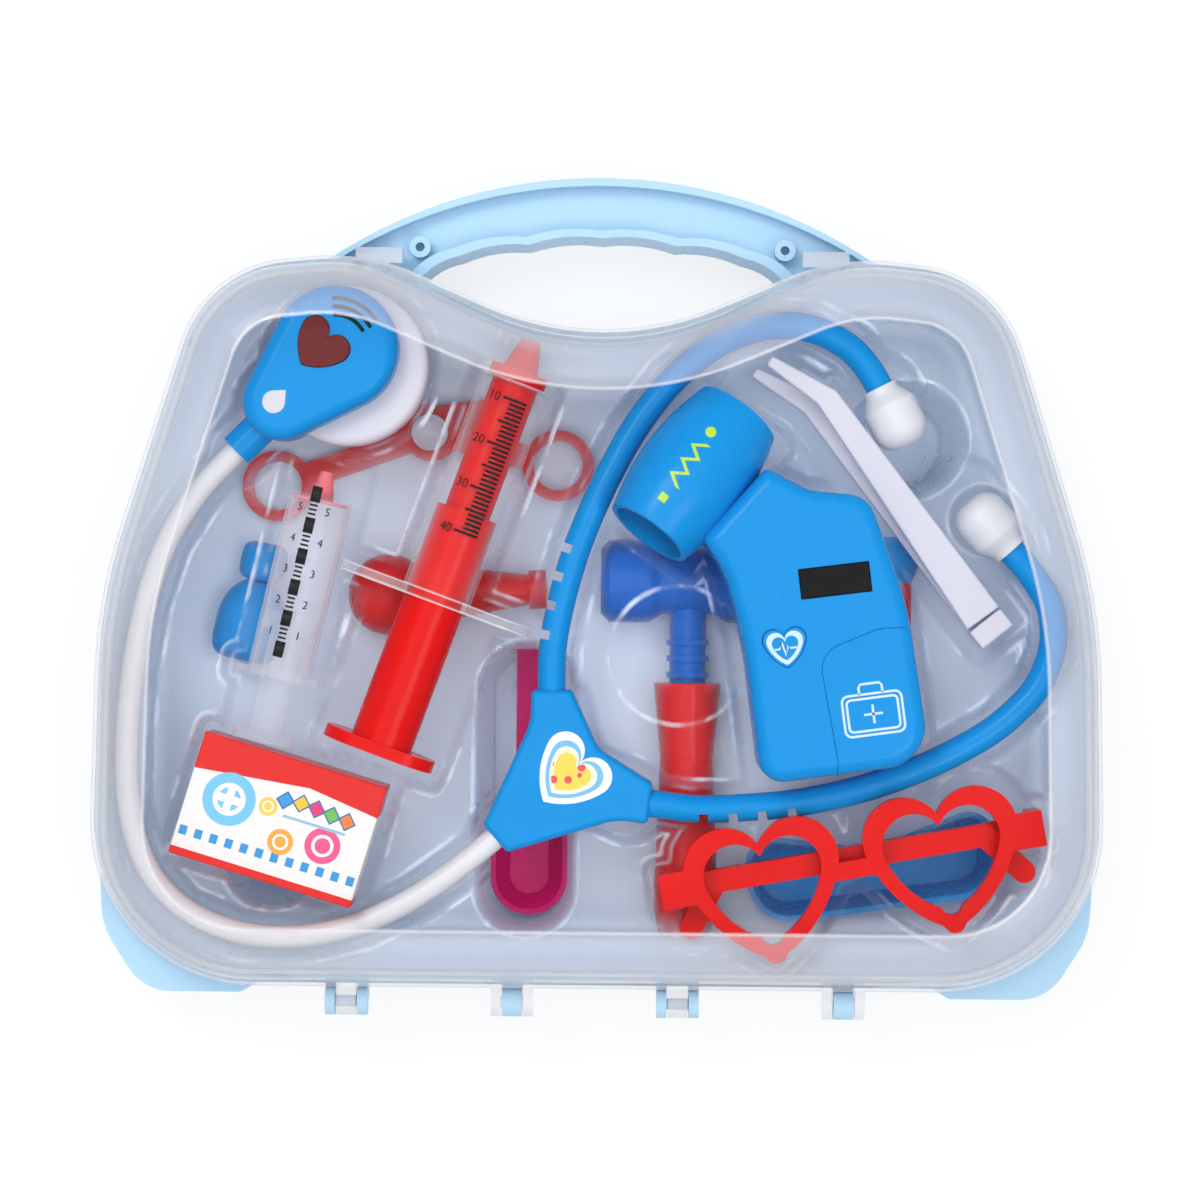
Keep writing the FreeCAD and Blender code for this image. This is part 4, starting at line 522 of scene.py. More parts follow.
def heart_label_print(name):
    """Printed heart label: rings of colour that follow the heart, with soft dots inside."""
    finish = Finish(name)
    rings = finish.node("ShaderNodeUVMap", {"uv_map": "rings"})
    share = finish.node("ShaderNodeSeparateXYZ", None, {0: rings}, "Y")
    dots = finish.node("ShaderNodeTexVoronoi", None, {"Vector": finish.coords(), "Scale": 260.0})
    middle = finish.mix(share > 0.52, tone(248, 214, 92), tone(252, 240, 214))
    spots = (dots < 0.3) * (share < 0.6)
    prints = ((spots, tone(232, 84, 96)), (share > 0.66, tone(120, 190, 236)),
              (share > 0.80, tone(244, 246, 250)))
    finish.set(Base_Color=finish.layers(middle, prints), Roughness=uneven(finish.noise(500.0), 0.23, 0.1),
               Specular_IOR_Level=0.2)
    return finish.block


def spun(points, turn):
    """Points turned about Z by an angle in degrees."""
    a = math.radians(turn)
    matrix = np.array(((math.cos(a), math.sin(a)), (-math.sin(a), math.cos(a))))
    return np.asarray(points, float) @ matrix


def ring_faces(rows, columns, closed):
    """Quads of a grid with rows x columns points, its columns closed into a ring or left open."""
    last = columns if closed else columns - 1
    row = np.arange(rows - 1)[:, None] * columns
    first = np.arange(last)[None, :]
    following = (first + 1) % columns
    quads = np.stack((row + first, row + following, row + columns + following, row + columns + first), -1)
    return quads.reshape(-1, 4)


def read_points(mesh):
    """Places of a mesh's points, one row each."""
    places = np.zeros(len(mesh.vertices) * 3)
    mesh.vertices.foreach_get("co", places)
    return places.reshape(-1, 3)


def read_corners(mesh):
    """Point of every corner of a mesh's faces."""
    corners = np.zeros(len(mesh.loops), np.int32)
    mesh.loops.foreach_get("vertex_index", corners)
    return corners


def store(mesh, name, values):
    """Keep one number for each point of a mesh as an attribute."""
    values = np.asarray(values, np.float32).ravel()
    mesh.attributes.new(name, "FLOAT", "POINT").data.foreach_set("value", values)


def stand(name, mesh, material, smooth_angle, body, nodes):
    """Put a mesh into the scene as a smooth piece that rides on a body and stands for any nodes given."""
    mesh.shade_smooth()
    mesh.set_sharp_from_angle(angle=math.radians(smooth_angle))
    mesh.materials.append(material)
    piece = bpy.data.objects.new(name, mesh)
    bpy.context.collection.objects.link(piece)
    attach(piece, body)
    if nodes:
        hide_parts(*nodes)
    return piece


def lay(name, points, faces, body, material, smooth_angle=SMOOTH_ANGLE, nodes=(), rings=None,
        sheet=0.0, fields=None):
    """Make a piece from points in millimetres: its seams merged, and a sheet given its thickness."""
    mesh = bpy.data.meshes.new(name)
    mesh.from_pydata((np.asarray(points, float) * MM).tolist(), [], [tuple(face) for face in faces])
    if rings is not None:
        layer = mesh.uv_layers.new(name="rings")
        layer.data.foreach_set("uv", np.asarray(rings, np.float32)[read_corners(mesh)].ravel())
    for key, values in (fields or {}).items():
        store(mesh, key, values)
    bm = bmesh.new()
    bm.from_mesh(mesh)
    bmesh.ops.remove_doubles(bm, verts=bm.verts, dist=1e-7)
    bmesh.ops.dissolve_degenerate(bm, edges=bm.edges, dist=1e-7)
    if not sheet:
        bmesh.ops.recalc_face_normals(bm, faces=bm.faces)
    elif sum(face.normal.z for face in bm.faces) < 0.0:
        bmesh.ops.reverse_faces(bm, faces=bm.faces)
    bm.to_mesh(mesh)
    bm.free()
    piece = stand(name, mesh, material, smooth_angle, body, nodes)
    if sheet:
        wall = piece.modifiers.new("sheet", "SOLIDIFY")
        wall.thickness = sheet * MM
        wall.offset = -1.0
    return piece


def dress(node, material, bevel=0.0, smooth_angle=0.0, segments=3):
    """Stand a smooth copy in for a solid: merged, with its edges eased by a bevel in millimetres."""
    name = node + "_skin"
    mesh = bpy.data.meshes.new(name)
    bm = bmesh.new()
    bm.from_mesh(frame["nodes"][node].data)
    bmesh.ops.remove_doubles(bm, verts=bm.verts, dist=2e-6)
    if bevel:
        bmesh.ops.dissolve_limit(bm, angle_limit=math.radians(1.0), verts=bm.verts, edges=bm.edges)
    bm.to_mesh(mesh)
    bm.free()
    if "custom_normal" in mesh.attributes:
        mesh.attributes.remove(mesh.attributes["custom_normal"])
    usual = BEVELLED_SMOOTH_ANGLE if bevel else SMOOTH_ANGLE
    piece = stand(name, mesh, material, smooth_angle or usual, BODY_OF[node], (node,))
    if bevel:
        eased = piece.modifiers.new("eased_edges", "BEVEL")
        eased.width = bevel * MM
        eased.segments = segments
        eased.limit_method = "ANGLE"
        eased.angle_limit = math.radians(BEVEL_ANGLE)
        eased.use_clamp_overlap = True
        eased.miter_outer = "MITER_ARC"
    weighted = piece.modifiers.new("even_normals", "WEIGHTED_NORMAL")
    weighted.keep_sharp = True
    return piece


def coat(node, material):
    """Give a hidden solid its finish as it is."""
    mesh = frame["nodes"][node].data
    mesh.materials.clear()
    mesh.materials.append(material)


def cut_panel(mesh):
    """Cut the level faces of the lid's panel along X and Y, so that values on their points spread evenly."""
    bm = bmesh.new()
    bm.from_mesh(mesh)
    for axis, far in zip(np.eye(3), LID_CUT_REACH):
        for place in np.arange(-far, far, LID_CUT_STEP) * MM:
            faces = [face for face in bm.faces
                     if abs(face.normal.z) > 0.99 and face.verts[0].co.z > LID_PANEL_LOW * MM]
            edges = {edge for face in faces for edge in face.edges}
            verts = {vert for face in faces for vert in face.verts}
            bmesh.ops.bisect_plane(bm, geom=[*verts, *edges, *faces], dist=1e-6, plane_co=axis * place,
                                   plane_no=axis)
    bm.to_mesh(mesh)
    bm.free()


def lathe_skin(node, place, turn, axis_z, profile, material, count=40):
    """Round piece: at each (along, radius) of the profile a ring about a level axis at height axis_z."""
    profile = np.asarray(profile)
    angle = np.linspace(0.0, 2.0 * np.pi, count, endpoint=False)
    along = np.repeat(profile[:, 0], len(angle))
    across = (profile[:, 1:] * np.cos(angle)).ravel()
    height = axis_z + (profile[:, 1:] * np.sin(angle)).ravel()
    flat = spun(np.column_stack((along, across)), turn) + np.asarray(place)
    faces = ring_faces(len(profile), len(angle), True)
    return lay(node + "_skin", np.column_stack((flat, height)), faces.tolist(), BODY_OF[node], material,
               ROUND_SMOOTH_ANGLE, (node,))


def rounded_profile(stations, corner, count=9):
    """Profile through (along, radius) stations, each corner rounded by a quadratic curve of that reach."""
    stations = np.asarray(stations, float)
    rows = [stations[:1]]
    t = np.linspace(0.0, 1.0, count)[:, None]
    for before, here, after in zip(stations, stations[1:], stations[2:]):
        back, ahead = before - here, after - here
        start = here + back * min(0.5, corner / np.hypot(*back))
        end = here + ahead * min(0.5, corner / np.hypot(*ahead))
        rows.append((1 - t) ** 2 * start + 2 * t * (1 - t) * here + t ** 2 * end)
    return np.vstack((*rows, stations[-1:]))


def arc_points(start, end, sag, count):
    """Points from start to just before end on the arc that bulges to the right of the way by sag."""
    start, end = np.asarray(start, float), np.asarray(end, float)
    chord = end - start
    length = np.hypot(*chord)
    along = chord / length
    side = np.array((along[1], -along[0]))
    radius = (length * length / 4.0 + sag * sag) / (2.0 * sag)
    half = 2.0 * math.atan(2.0 * sag / length)
    t = np.linspace(-half, half, count, endpoint=False)[:, None]
    return (start + end) / 2.0 + along * radius * np.sin(t) + side * (radius * np.cos(t) - radius + sag)


def heart_outline(width, height, count=24):
    """Heart of two lobe arcs and two flank arcs, its tip towards -Y."""
    notch, right = (0.0, 0.27 * height), (width / 2.0, 0.14 * height)
    left, tip = (-width / 2.0, 0.14 * height), (0.0, -height / 2.0)
    lobe = 0.55 * math.dist(right, notch)
    flank = 0.10 * math.dist(tip, right)
    runs = ((notch, left, lobe), (left, tip, flank), (tip, right, flank), (right, notch, lobe))
    return np.concatenate([arc_points(a, b, sag, count) for a, b, sag in runs])


def heart_plate(name, centre, turn, size, profile, body, material, nodes=()):
    """Heart-shaped surface: at each (share, z) of the profile the heart outline is scaled by the share."""
    outline = heart_outline(*size)
    shares, heights = np.array(profile).T
    scaled = (outline[None] * shares[:, None, None]).reshape(-1, 2)
    points = np.column_stack((spun(scaled, turn) + np.asarray(centre), np.repeat(heights, len(outline))))
    around = np.tile(np.linspace(0.0, 1.0, len(outline), endpoint=False), len(profile))
    rings = np.column_stack((around, np.repeat(shares, len(outline))))
    faces = ring_faces(len(profile), len(outline), True)
    return lay(name, points, faces.tolist(), body, material, nodes=nodes, rings=rings)


def to_segment(x, y, start, end):
    """Distance of every point to a straight segment."""
    ax, ay = start
    dx, dy = end[0] - ax, end[1] - ay
    t = np.clip(((x - ax) * dx + (y - ay) * dy) / (dx * dx + dy * dy), 0.0, 1.0)
    return np.hypot(x - ax - t * dx, y - ay - t * dy)


def to_line(x, y, points):
    """Distance of every point to a line of segments."""
    return np.min([to_segment(x, y, a, b) for a, b in zip(points, points[1:])], axis=0)


def to_circle(x, y, circle):
    """Signed distance of every point to a circle, given as its centre and radius."""
    return np.hypot(x - circle[0], y - circle[1]) - circle[2]


def to_box(x, y, centre, turn, low, high):
    """Signed distance of every point to a turned rectangle from low to high in its own frame."""
    flat = spun(np.column_stack((x.ravel() - centre[0], y.ravel() - centre[1])), -turn)
    middle = (np.asarray(low) + np.asarray(high)) / 2.0
    half = (np.asarray(high) - np.asarray(low)) / 2.0
    gap = np.abs(flat - middle) - half
    outside = np.hypot(*np.maximum(gap, 0.0).T)
    return (outside + np.minimum(gap.max(axis=1), 0.0)).reshape(x.shape)


def to_polygon(x, y, points):
    """Signed distance of every point to a closed polygon, negative inside by the crossing count."""
    points = np.asarray(points, float)
    closed = np.vstack((points, points[:1]))
    distance = to_line(x, y, closed)
    inside = np.zeros(x.shape, bool)
    for (ax, ay), (bx, by) in zip(closed, closed[1:]):
        if ay == by:
            continue
        crossing = (ay > y) != (by > y)
        inside ^= crossing & (x < (bx - ax) * (y - ay) / (by - ay) + ax)
    return np.where(inside, -distance, distance)


def ease(low, high, values):
    """Smooth step from 0 at low to 1 at high."""
    t = np.clip((values - low) / (high - low), 0.0, 1.0)
    return t * t * (3.0 - 2.0 * t)


def unit_rows(rows):
    """Rows of a table of directions, each made one long."""
    return rows / np.hypot(*rows.T)[:, None]


def case_outline(inset, count=16):
    """Case outline, inset: a mirrored polygon whose corners are arcs, as rational quadratic curves."""
    right, radii = np.array(CASE_CORNERS), np.array(CASE_RADII)
    corners = np.vstack((CASE_DIP, right * (-1.0, 1.0), right[::-1]))
    radii = np.concatenate(((CASE_DIP_RADIUS,), radii, radii[::-1]))
    way = unit_rows(np.roll(corners, -1, axis=0) - corners)
    normal = np.column_stack((-way[:, 1], way[:, 0]))
    before = np.roll(normal, 1, axis=0)
    corners = corners + (before + normal) * (inset / (1.0 + (before * normal).sum(1)))[:, None]
    bend = before[:, 0] * normal[:, 1] - before[:, 1] * normal[:, 0]
    radii = np.where(bend < 0.0, radii + inset, radii - inset)
    back = np.roll(corners, 1, axis=0) - corners
    ahead = np.roll(corners, -1, axis=0) - corners
    limit = 0.49 * np.minimum(np.hypot(*back.T), np.hypot(*ahead.T))
    back, ahead = unit_rows(back), unit_rows(ahead)
    half = np.arccos((back * ahead).sum(1)) / 2.0
    tangent = np.minimum(radii / np.tan(half), limit)[:, None]
    t = np.linspace(0.0, 1.0, count)[None, :, None]
    start = (corners + back * tangent)[:, None]
    end = (corners + ahead * tangent)[:, None]
    weight = np.cos(np.pi / 2.0 - half)[:, None, None]
    curve = (1 - t) ** 2 * start + 2 * weight * t * (1 - t) * corners[:, None] + t ** 2 * end
    return (curve / ((1 - t) ** 2 + 2 * weight * t * (1 - t) + t ** 2)).reshape(-1, 2)


def toy_clearance(x, y):
    """Distance from every point of the tray to the nearest toy that lies on it."""
    found = [to_circle(x, y, (*CHEST, CHEST_RADIUS))]
    found += [to_line(x, y, spun(line, turn) + place) - half for place, turn, line, half in TOY_LINES]
    found += [to_box(x, y, *box) - margin for *box, margin in TOY_BOXES]
    found.append(to_polygon(x, y, np.asarray(GUN_OUTLINE) * GUN_SIZE + GUN) - GUN_MARGIN)
    for offset in (-LENS_OFFSET, LENS_OFFSET):
        lens = heart_outline(*LENS_SIZE, 8) + (offset, 0.0)
        found.append(to_polygon(x, y, spun(lens, GLASSES_TURN) + GLASSES) - LENS_MARGIN)
    return np.min(found, axis=0)


def tray_pockets(x, y):
    """Signed distance to the deep pockets of the tray, negative inside."""
    found = [to_segment(x, y, *LONG_POCKET) - LONG_POCKET_RADIUS]
    return np.min(found + [to_circle(x, y, pocket) for pocket in ROUND_POCKETS], axis=0)


def over_lower_toys(x, y):
    """One where the tray lies over a toy of the lower layer, zero elsewhere, with a soft edge.

    A place is over a toy where, seen from above, it is left of all three edges of one of its upper faces.
    """
    covered = np.zeros(x.shape, bool)
    for node in LOWER_TOYS:
        mesh = frame["nodes"][node].data
        faces = read_points(mesh)[read_corners(mesh).reshape(-1, 3), :2] / MM
        ways = np.roll(faces, -1, axis=1) - faces
        upper = ways[:, 0, 0] * ways[:, 1, 1] > ways[:, 0, 1] * ways[:, 1, 0]
        low, high = faces.min(axis=(0, 1)), faces.max(axis=(0, 1))
        close = (x > low[0]) & (x < high[0]) & (y > low[1]) & (y < high[1])
        near_x, near_y = x[close][:, None], y[close][:, None]
        inside = True
        for start, way in zip(faces[upper].swapaxes(0, 1), ways[upper].swapaxes(0, 1)):
            inside = inside & (way[:, 0] * (near_y - start[:, 1]) >= way[:, 1] * (near_x - start[:, 0]))
        covered[close] |= inside.any(axis=1)
    cover = covered.astype(float)
    for axis in (0, 1, 0, 1):
        cover = (np.roll(cover, 1, axis) + cover + np.roll(cover, -1, axis)) / 3.0
    return cover


def colour_property(name, description, red, green, blue):
    """Colour that a user may change, its default an sRGB colour from 0 to 255."""
    return FloatVectorProperty(name=name, description=description, subtype="COLOR", size=4,
                               default=tone(red, green, blue), min=0.0, max=1.0)


def length_property(name, description, default, low, high):
    """Length in metres that a user may change."""
    return FloatProperty(name=name, description=description, unit="LENGTH",
                         default=default, min=low, max=high)


class DoctorCaseColours(bpy.types.PropertyGroup):
    """Colours of the case and its toys."""

    shell: colour_property("Shell", "Light blue of the back shell", 178, 214, 238)
    blue: colour_property("Toy blue", "Blue of the moulded toys", 6, 144, 219)
    red: colour_property("Toy red", "Red of the moulded toys", 222, 6, 3)
    white: colour_property("Toy white", "White of the moulded toys", 214, 213, 224)
    deep_blue: colour_property("Deep blue", "Blue of the toys under the tray", 14, 102, 198)
    card: colour_property("Backing card", "Pale card behind the toys", 222, 237, 255)


class DoctorCaseSizes(bpy.types.PropertyGroup):
    """Sizes of the dressed details."""

    tray_rise: length_property("Tray rise", "Height of the formed tray round the toys",
                               4.6 * MM, 0.0, 8.0 * MM)
    tray_step: length_property("Tray mesh step", "Spacing of the tray's mesh",
                               1.1 * MM, 0.8 * MM, 4.0 * MM)
    tube_width: length_property("Tube width", "Diameter of the stethoscope tube",
                                6.5 * MM, 4.0 * MM, 8.0 * MM)
    camera_height: length_property("Camera height", "Camera above the parting line", 0.95, 0.3, 3.0)


class DOCTORCASE_OT_stage(bpy.types.Operator):
    """Floor, soft studio light and the camera above the case"""

    bl_idname = "doctor_case.stage"
    bl_label = "Stage"

    def execute(self, context):
        scene = context.scene
        scene.view_settings.view_transform = "Standard"
        scene.cycles.transparent_max_bounces = 48
        camera = bpy.data.cameras.new("camera")
        height = scene.doctor_case_sizes.camera_height
        camera.sensor_width = SENSOR
        camera.lens = SENSOR * height / VIEW_WIDTH
        camera.clip_end = 20.0
        view = bpy.data.objects.new("camera", camera)
        view.location = (*CAMERA_PLACE, PARTING_HEIGHT * MM + height)
        view.rotation_euler = (0.0, 0.0, math.radians(CAMERA_TURN))
        context.collection.objects.link(view)
        scene.camera = view

        # Sky: dim round the sides, bright overhead, and white to the camera
        sky = Finish("studio", "worlds", "Background")
        towards = sky.node("ShaderNodeTexCoord", out="Generated")
        upwards = sky.node("ShaderNodeSeparateXYZ", None, {0: towards}, "Z")
        glow = sky.node("ShaderNodeMapRange", {"interpolation_type": "SMOOTHSTEP"},
                        {"Value": upwards, "From Min": 0.74, "From Max": 0.96, "To Min": 0.5, "To Max": 1.75})
        sky.set(Color=WHITE, Strength=glow.high(sky.node("ShaderNodeLightPath", out="Is Camera Ray")))
        scene.world = sky.block
        for name, place, size, power in LAMPS:
            light = bpy.data.lights.new(name, "AREA")
            light.size = size
            light.energy = power
            lamp = bpy.data.objects.new(name, light)
            lamp.location = place
            aim = np.asarray(place) / np.linalg.norm(place)
            lamp.rotation_euler = (math.acos(aim[2]), 0.0, math.atan2(aim[1], aim[0]) + math.pi / 2.0)
            context.collection.objects.link(lamp)

        # Floor: pale, and mostly white to the camera and in reflections, with the case's shadow left on it
        finish = Finish("studio_floor")
        pale = finish.mix(finish.noise(6.0), shaded(WHITE, 0.93), shaded(WHITE, 0.96))
        finish.set(Base_Color=pale, Roughness=0.8)
        rays = ("Is Camera Ray", "Is Glossy Ray", "Is Transmission Ray")
        camera_ray, glossy, through = (finish.node("ShaderNodeLightPath", out=ray) for ray in rays)
        blended = finish.node("ShaderNodeMixShader", None, {
            0: camera_ray.high(glossy).high(through) * FLOOR_GLOW,
            1: Value(finish, finish.shader.outputs[0]),
            2: finish.node("ShaderNodeEmission", None, {"Color": WHITE}),
        })
        finish.put(finish.tree.nodes["Material Output"], "Surface", blended)
        steps = np.linspace(-FLOOR_REACH, FLOOR_REACH, 9)
        x, y = np.meshgrid(steps, steps)
        points = np.column_stack((x.ravel(), y.ravel(), np.full(x.size, FLOOR_HEIGHT)))
        mesh = bpy.data.meshes.new("floor")
        mesh.from_pydata(points.tolist(), [], ring_faces(len(steps), len(steps), False).tolist())
        mesh.materials.append(finish.block)
        floor = bpy.data.objects.new("floor", mesh)
        context.collection.objects.link(floor)
        return {"FINISHED"}


class DOCTORCASE_OT_stethoscope(bpy.types.Operator):
    """Stethoscope: chest piece, tube, junction, arms and ear tips"""

    bl_idname = "doctor_case.stethoscope"
    bl_label = "Stethoscope"

    def execute(self, context):
        colours = context.scene.doctor_case_colours
        blue = moulded("stethoscope_blue", tuple(colours.blue), rough=0.24, coat=0.06)
        white = moulded("chest_white", tuple(colours.white), rough=0.3, speck=0.02)
        dark_red = moulded("heart_dark_red", tone(104, 8, 12), rough=0.2, speck=0.05, coat=0.3)
        rubber = soft_rubber("tube_vinyl", tone(226, 227, 232))
        steel = brushed_metal("small_steel")
        curve = bpy.data.curves.new("stethoscope_hose", "CURVE")
        curve.dimensions = "3D"
        line = curve.splines.new("NURBS")
        line.points.add(len(TUBE_ROUTE) - 1)
        route = np.array(TUBE_ROUTE)
        coords = np.column_stack((route * MM, np.full(len(route), TUBE_HEIGHT * MM), np.ones(len(route))))
        line.points.foreach_set("co", coords.ravel())
        line.order_u = 3
        line.use_endpoint_u = True
        line.resolution_u = 10
        curve.bevel_depth = context.scene.doctor_case_sizes.tube_width / 2.0
        curve.bevel_resolution = 6
        curve.use_fill_caps = True
        curve.materials.append(rubber)
        hose = bpy.data.objects.new("stethoscope_hose", curve)
        context.collection.objects.link(hose)
        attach(hose, "case")
        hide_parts("stethoscope_tube")

        dress("chest_base", white)
        dress("chest_cover", blue)
        dress("chest_heart_button", dark_red, bevel=0.8)
        dress("chest_drop_inlay", white, bevel=0.3)
        for node in ("y_junction", "upper_arm", "right_arm"):
            dress(node, blue)
        for node in ("upper_ear_tip", "right_ear_tip"):
            dress(node, rubber, smooth_angle=ROUND_SMOOTH_ANGLE)
        low, top = (corner[2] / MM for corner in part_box("y_label"))
        profile = ((0.0, low), (1.0, low), (1.0, top - 0.05), (0.97, top), (0.6, top), (0.3, top), (0.0, top))
        heart_plate("heart_label", JUNCTION, LABEL_TURN, LABEL_SIZE, profile, "case",
                    heart_label_print("heart_label_print"), ("y_label",))
        coat("chest_back_plate", white)
        coat("chest_board", moulded("board_green", tone(40, 120, 70), rough=0.5))
        for node in ("chest_cells", "chest_speaker", "chest_screws"):
            coat(node, steel)
        return {"FINISHED"}


class DOCTORCASE_OT_shell(bpy.types.Operator):
    """Back shell, clear lid and backing card"""

    bl_idname = "doctor_case.shell"
    bl_label = "Case shell"

    def execute(self, context):
        colours = context.scene.doctor_case_colours
        shell = moulded("shell_plastic", tuple(colours.shell), rough=0.3, speck=0.02)
        dress("back_shell", shell, smooth_angle=35.0)
        # Clear lid with frost on its border, whitened over the shaded shelf, and a painted highlight along
        # its crease.
        clear = clear_plastic("clear_lid", tone(236, 236, 242), haze=0.003, edge=0.45, power=3.0,
                              rough=0.12, wave=0.04, marks=frosted_border_and_glint)
        mesh = dress("front_cover", clear).data
        cut_panel(mesh)
        x, y, _ = read_points(mesh).T / MM
        store(mesh, "inset", -to_polygon(x, y, case_outline(0.0)))
        dress("backing_card", card_stock("backing_card_print", tuple(colours.card)), smooth_angle=35.0)
        return {"FINISHED"}


class DOCTORCASE_OT_tray(bpy.types.Operator):
    """Clear formed tray: one sheet that rises between the toys and drops into its pockets"""

    bl_idname = "doctor_case.tray"
    bl_label = "Formed tray"

    def execute(self, context):
        sizes = context.scene.doctor_case_sizes
        outline = case_outline(TRAY_INSET)
        left, right = outline[:, 0].argmin(), outline[:, 0].argmax()
        ordered = np.roll(outline, -left, axis=0)
        turn = (right - left) % len(outline)
        below, above = ordered[:turn + 1], np.vstack((ordered[turn:], ordered[:1]))[::-1]
        step = sizes.tray_step / MM
        columns = int((outline[right, 0] - outline[left, 0]) / step)
        rows = int(TRAY_LENGTH / step)
        x = np.linspace(outline[left, 0] + TRAY_END_GAP, outline[right, 0] - TRAY_END_GAP, columns)
        low = np.interp(x, below[:, 0], below[:, 1])
        high = np.interp(x, above[:, 0], above[:, 1])
        y = low + (high - low) * np.linspace(0.0, 1.0, rows)[:, None]
        x = np.broadcast_to(x, y.shape)
        edge = -to_polygon(x, y, outline)
        gap = toy_clearance(x, y)
        pocket = tray_pockets(x, y)
        recess = to_circle(x, y, RECESS)
        z = TRAY_FLOOR + sizes.tray_rise / MM * ease(*TRAY_WALL, gap) * ease(*TRAY_BORDER, edge)
        z = z + (POCKET_FLOOR - z) * ease(0.0, POCKET_WALL, -pocket)
        z = z + (TRAY_FLOOR - RECESS_DROP - z) * ease(0.0, RECESS_WALL, -recess)
        points = np.column_stack((x.ravel(), y.ravel(), z.ravel()))
        # Clear tray with painted glints along its walls and pockets, and whitening painted to lift the shade
        # inside the case.
        finish = clear_plastic("clear_tray", tone(226, 238, 255), haze=0.012, edge=0.3, power=2.0,
                               rough=0.1, wave=0.06, marks=tray_painted_glints_and_lift)
        fields = {"toy_gap": gap, "pocket_gap": np.minimum(pocket, recess), "cup_gap": to_circle(x, y, CUP),
                  "edge_gap": edge, "over_toys": over_lower_toys(x, y)}
        lay("formed_tray", points, ring_faces(rows, columns, False).tolist(), "case", finish,
            smooth_angle=60.0, nodes=("blister_tray",), sheet=TRAY_SHEET, fields=fields)
        return {"FINISHED"}


def bent_print(origin, turn, axis_z, radius, along, across):
    """Places of a print laid on a barrel: each is bent round the axis by the angle across / radius."""
    angle = across / radius
    out = radius + PRINT_LIFT
    flat = spun(np.column_stack((along, out * np.sin(angle))), turn) + np.asarray(origin)
    return np.column_stack((flat, axis_z + out * np.cos(angle)))


def scale_marks(name, barrel, starts, lengths, widths, middles, material):
    """Printed scale: each mark is a patch of the barrel, as long across it and as wide along it as given."""
    rows = np.broadcast_arrays(starts, lengths, widths, middles)
    starts, lengths, widths, middles = (row[:, None, None] for row in rows)
    u = np.linspace(0.0, 1.0, 2)[None, :, None]
    v = np.linspace(-0.5, 0.5, 9)[None, None, :]
    along, across = np.broadcast_arrays(starts + widths * u, middles + lengths * v)
    points = bent_print(*barrel, along.ravel(), across.ravel())
    first = np.arange(len(starts)) * u.size * v.size
    faces = (ring_faces(u.size, v.size, False)[None] + first[:, None, None]).reshape(-1, 4)
    return lay(name, points, faces.tolist(), "case", material, sheet=PRINT_SHEET)


def scale_numbers(name, words, barrel, places, middle, height, material):
    """Printed numbers: flat outlines of the figures laid on the barrel beside its marks."""
    context = bpy.context
    laid, faces, count = [], [], 0
    for word, place in zip(words, places):
        font = bpy.data.curves.new(name, "FONT")
        font.body = word
        font.size = height
        font.align_x = "CENTER"
        font.align_y = "CENTER"
        font.resolution_u = 3
        holder = bpy.data.objects.new(name, font)
        context.collection.objects.link(holder)
        context.view_layer.update()
        flat = bpy.data.meshes.new_from_object(holder.evaluated_get(context.evaluated_depsgraph_get()))
        figure = read_points(flat)
        laid.append(np.column_stack((figure[:, 1] + place, middle - figure[:, 0])))
        faces.extend([[index + count for index in face.vertices] for face in flat.polygons])
        count += len(figure)
        bpy.data.objects.remove(holder)
        bpy.data.meshes.remove(flat)
    points = bent_print(*barrel, *np.vstack(laid).T)
    return lay(name, points, faces, "case", material, sheet=PRINT_SHEET)


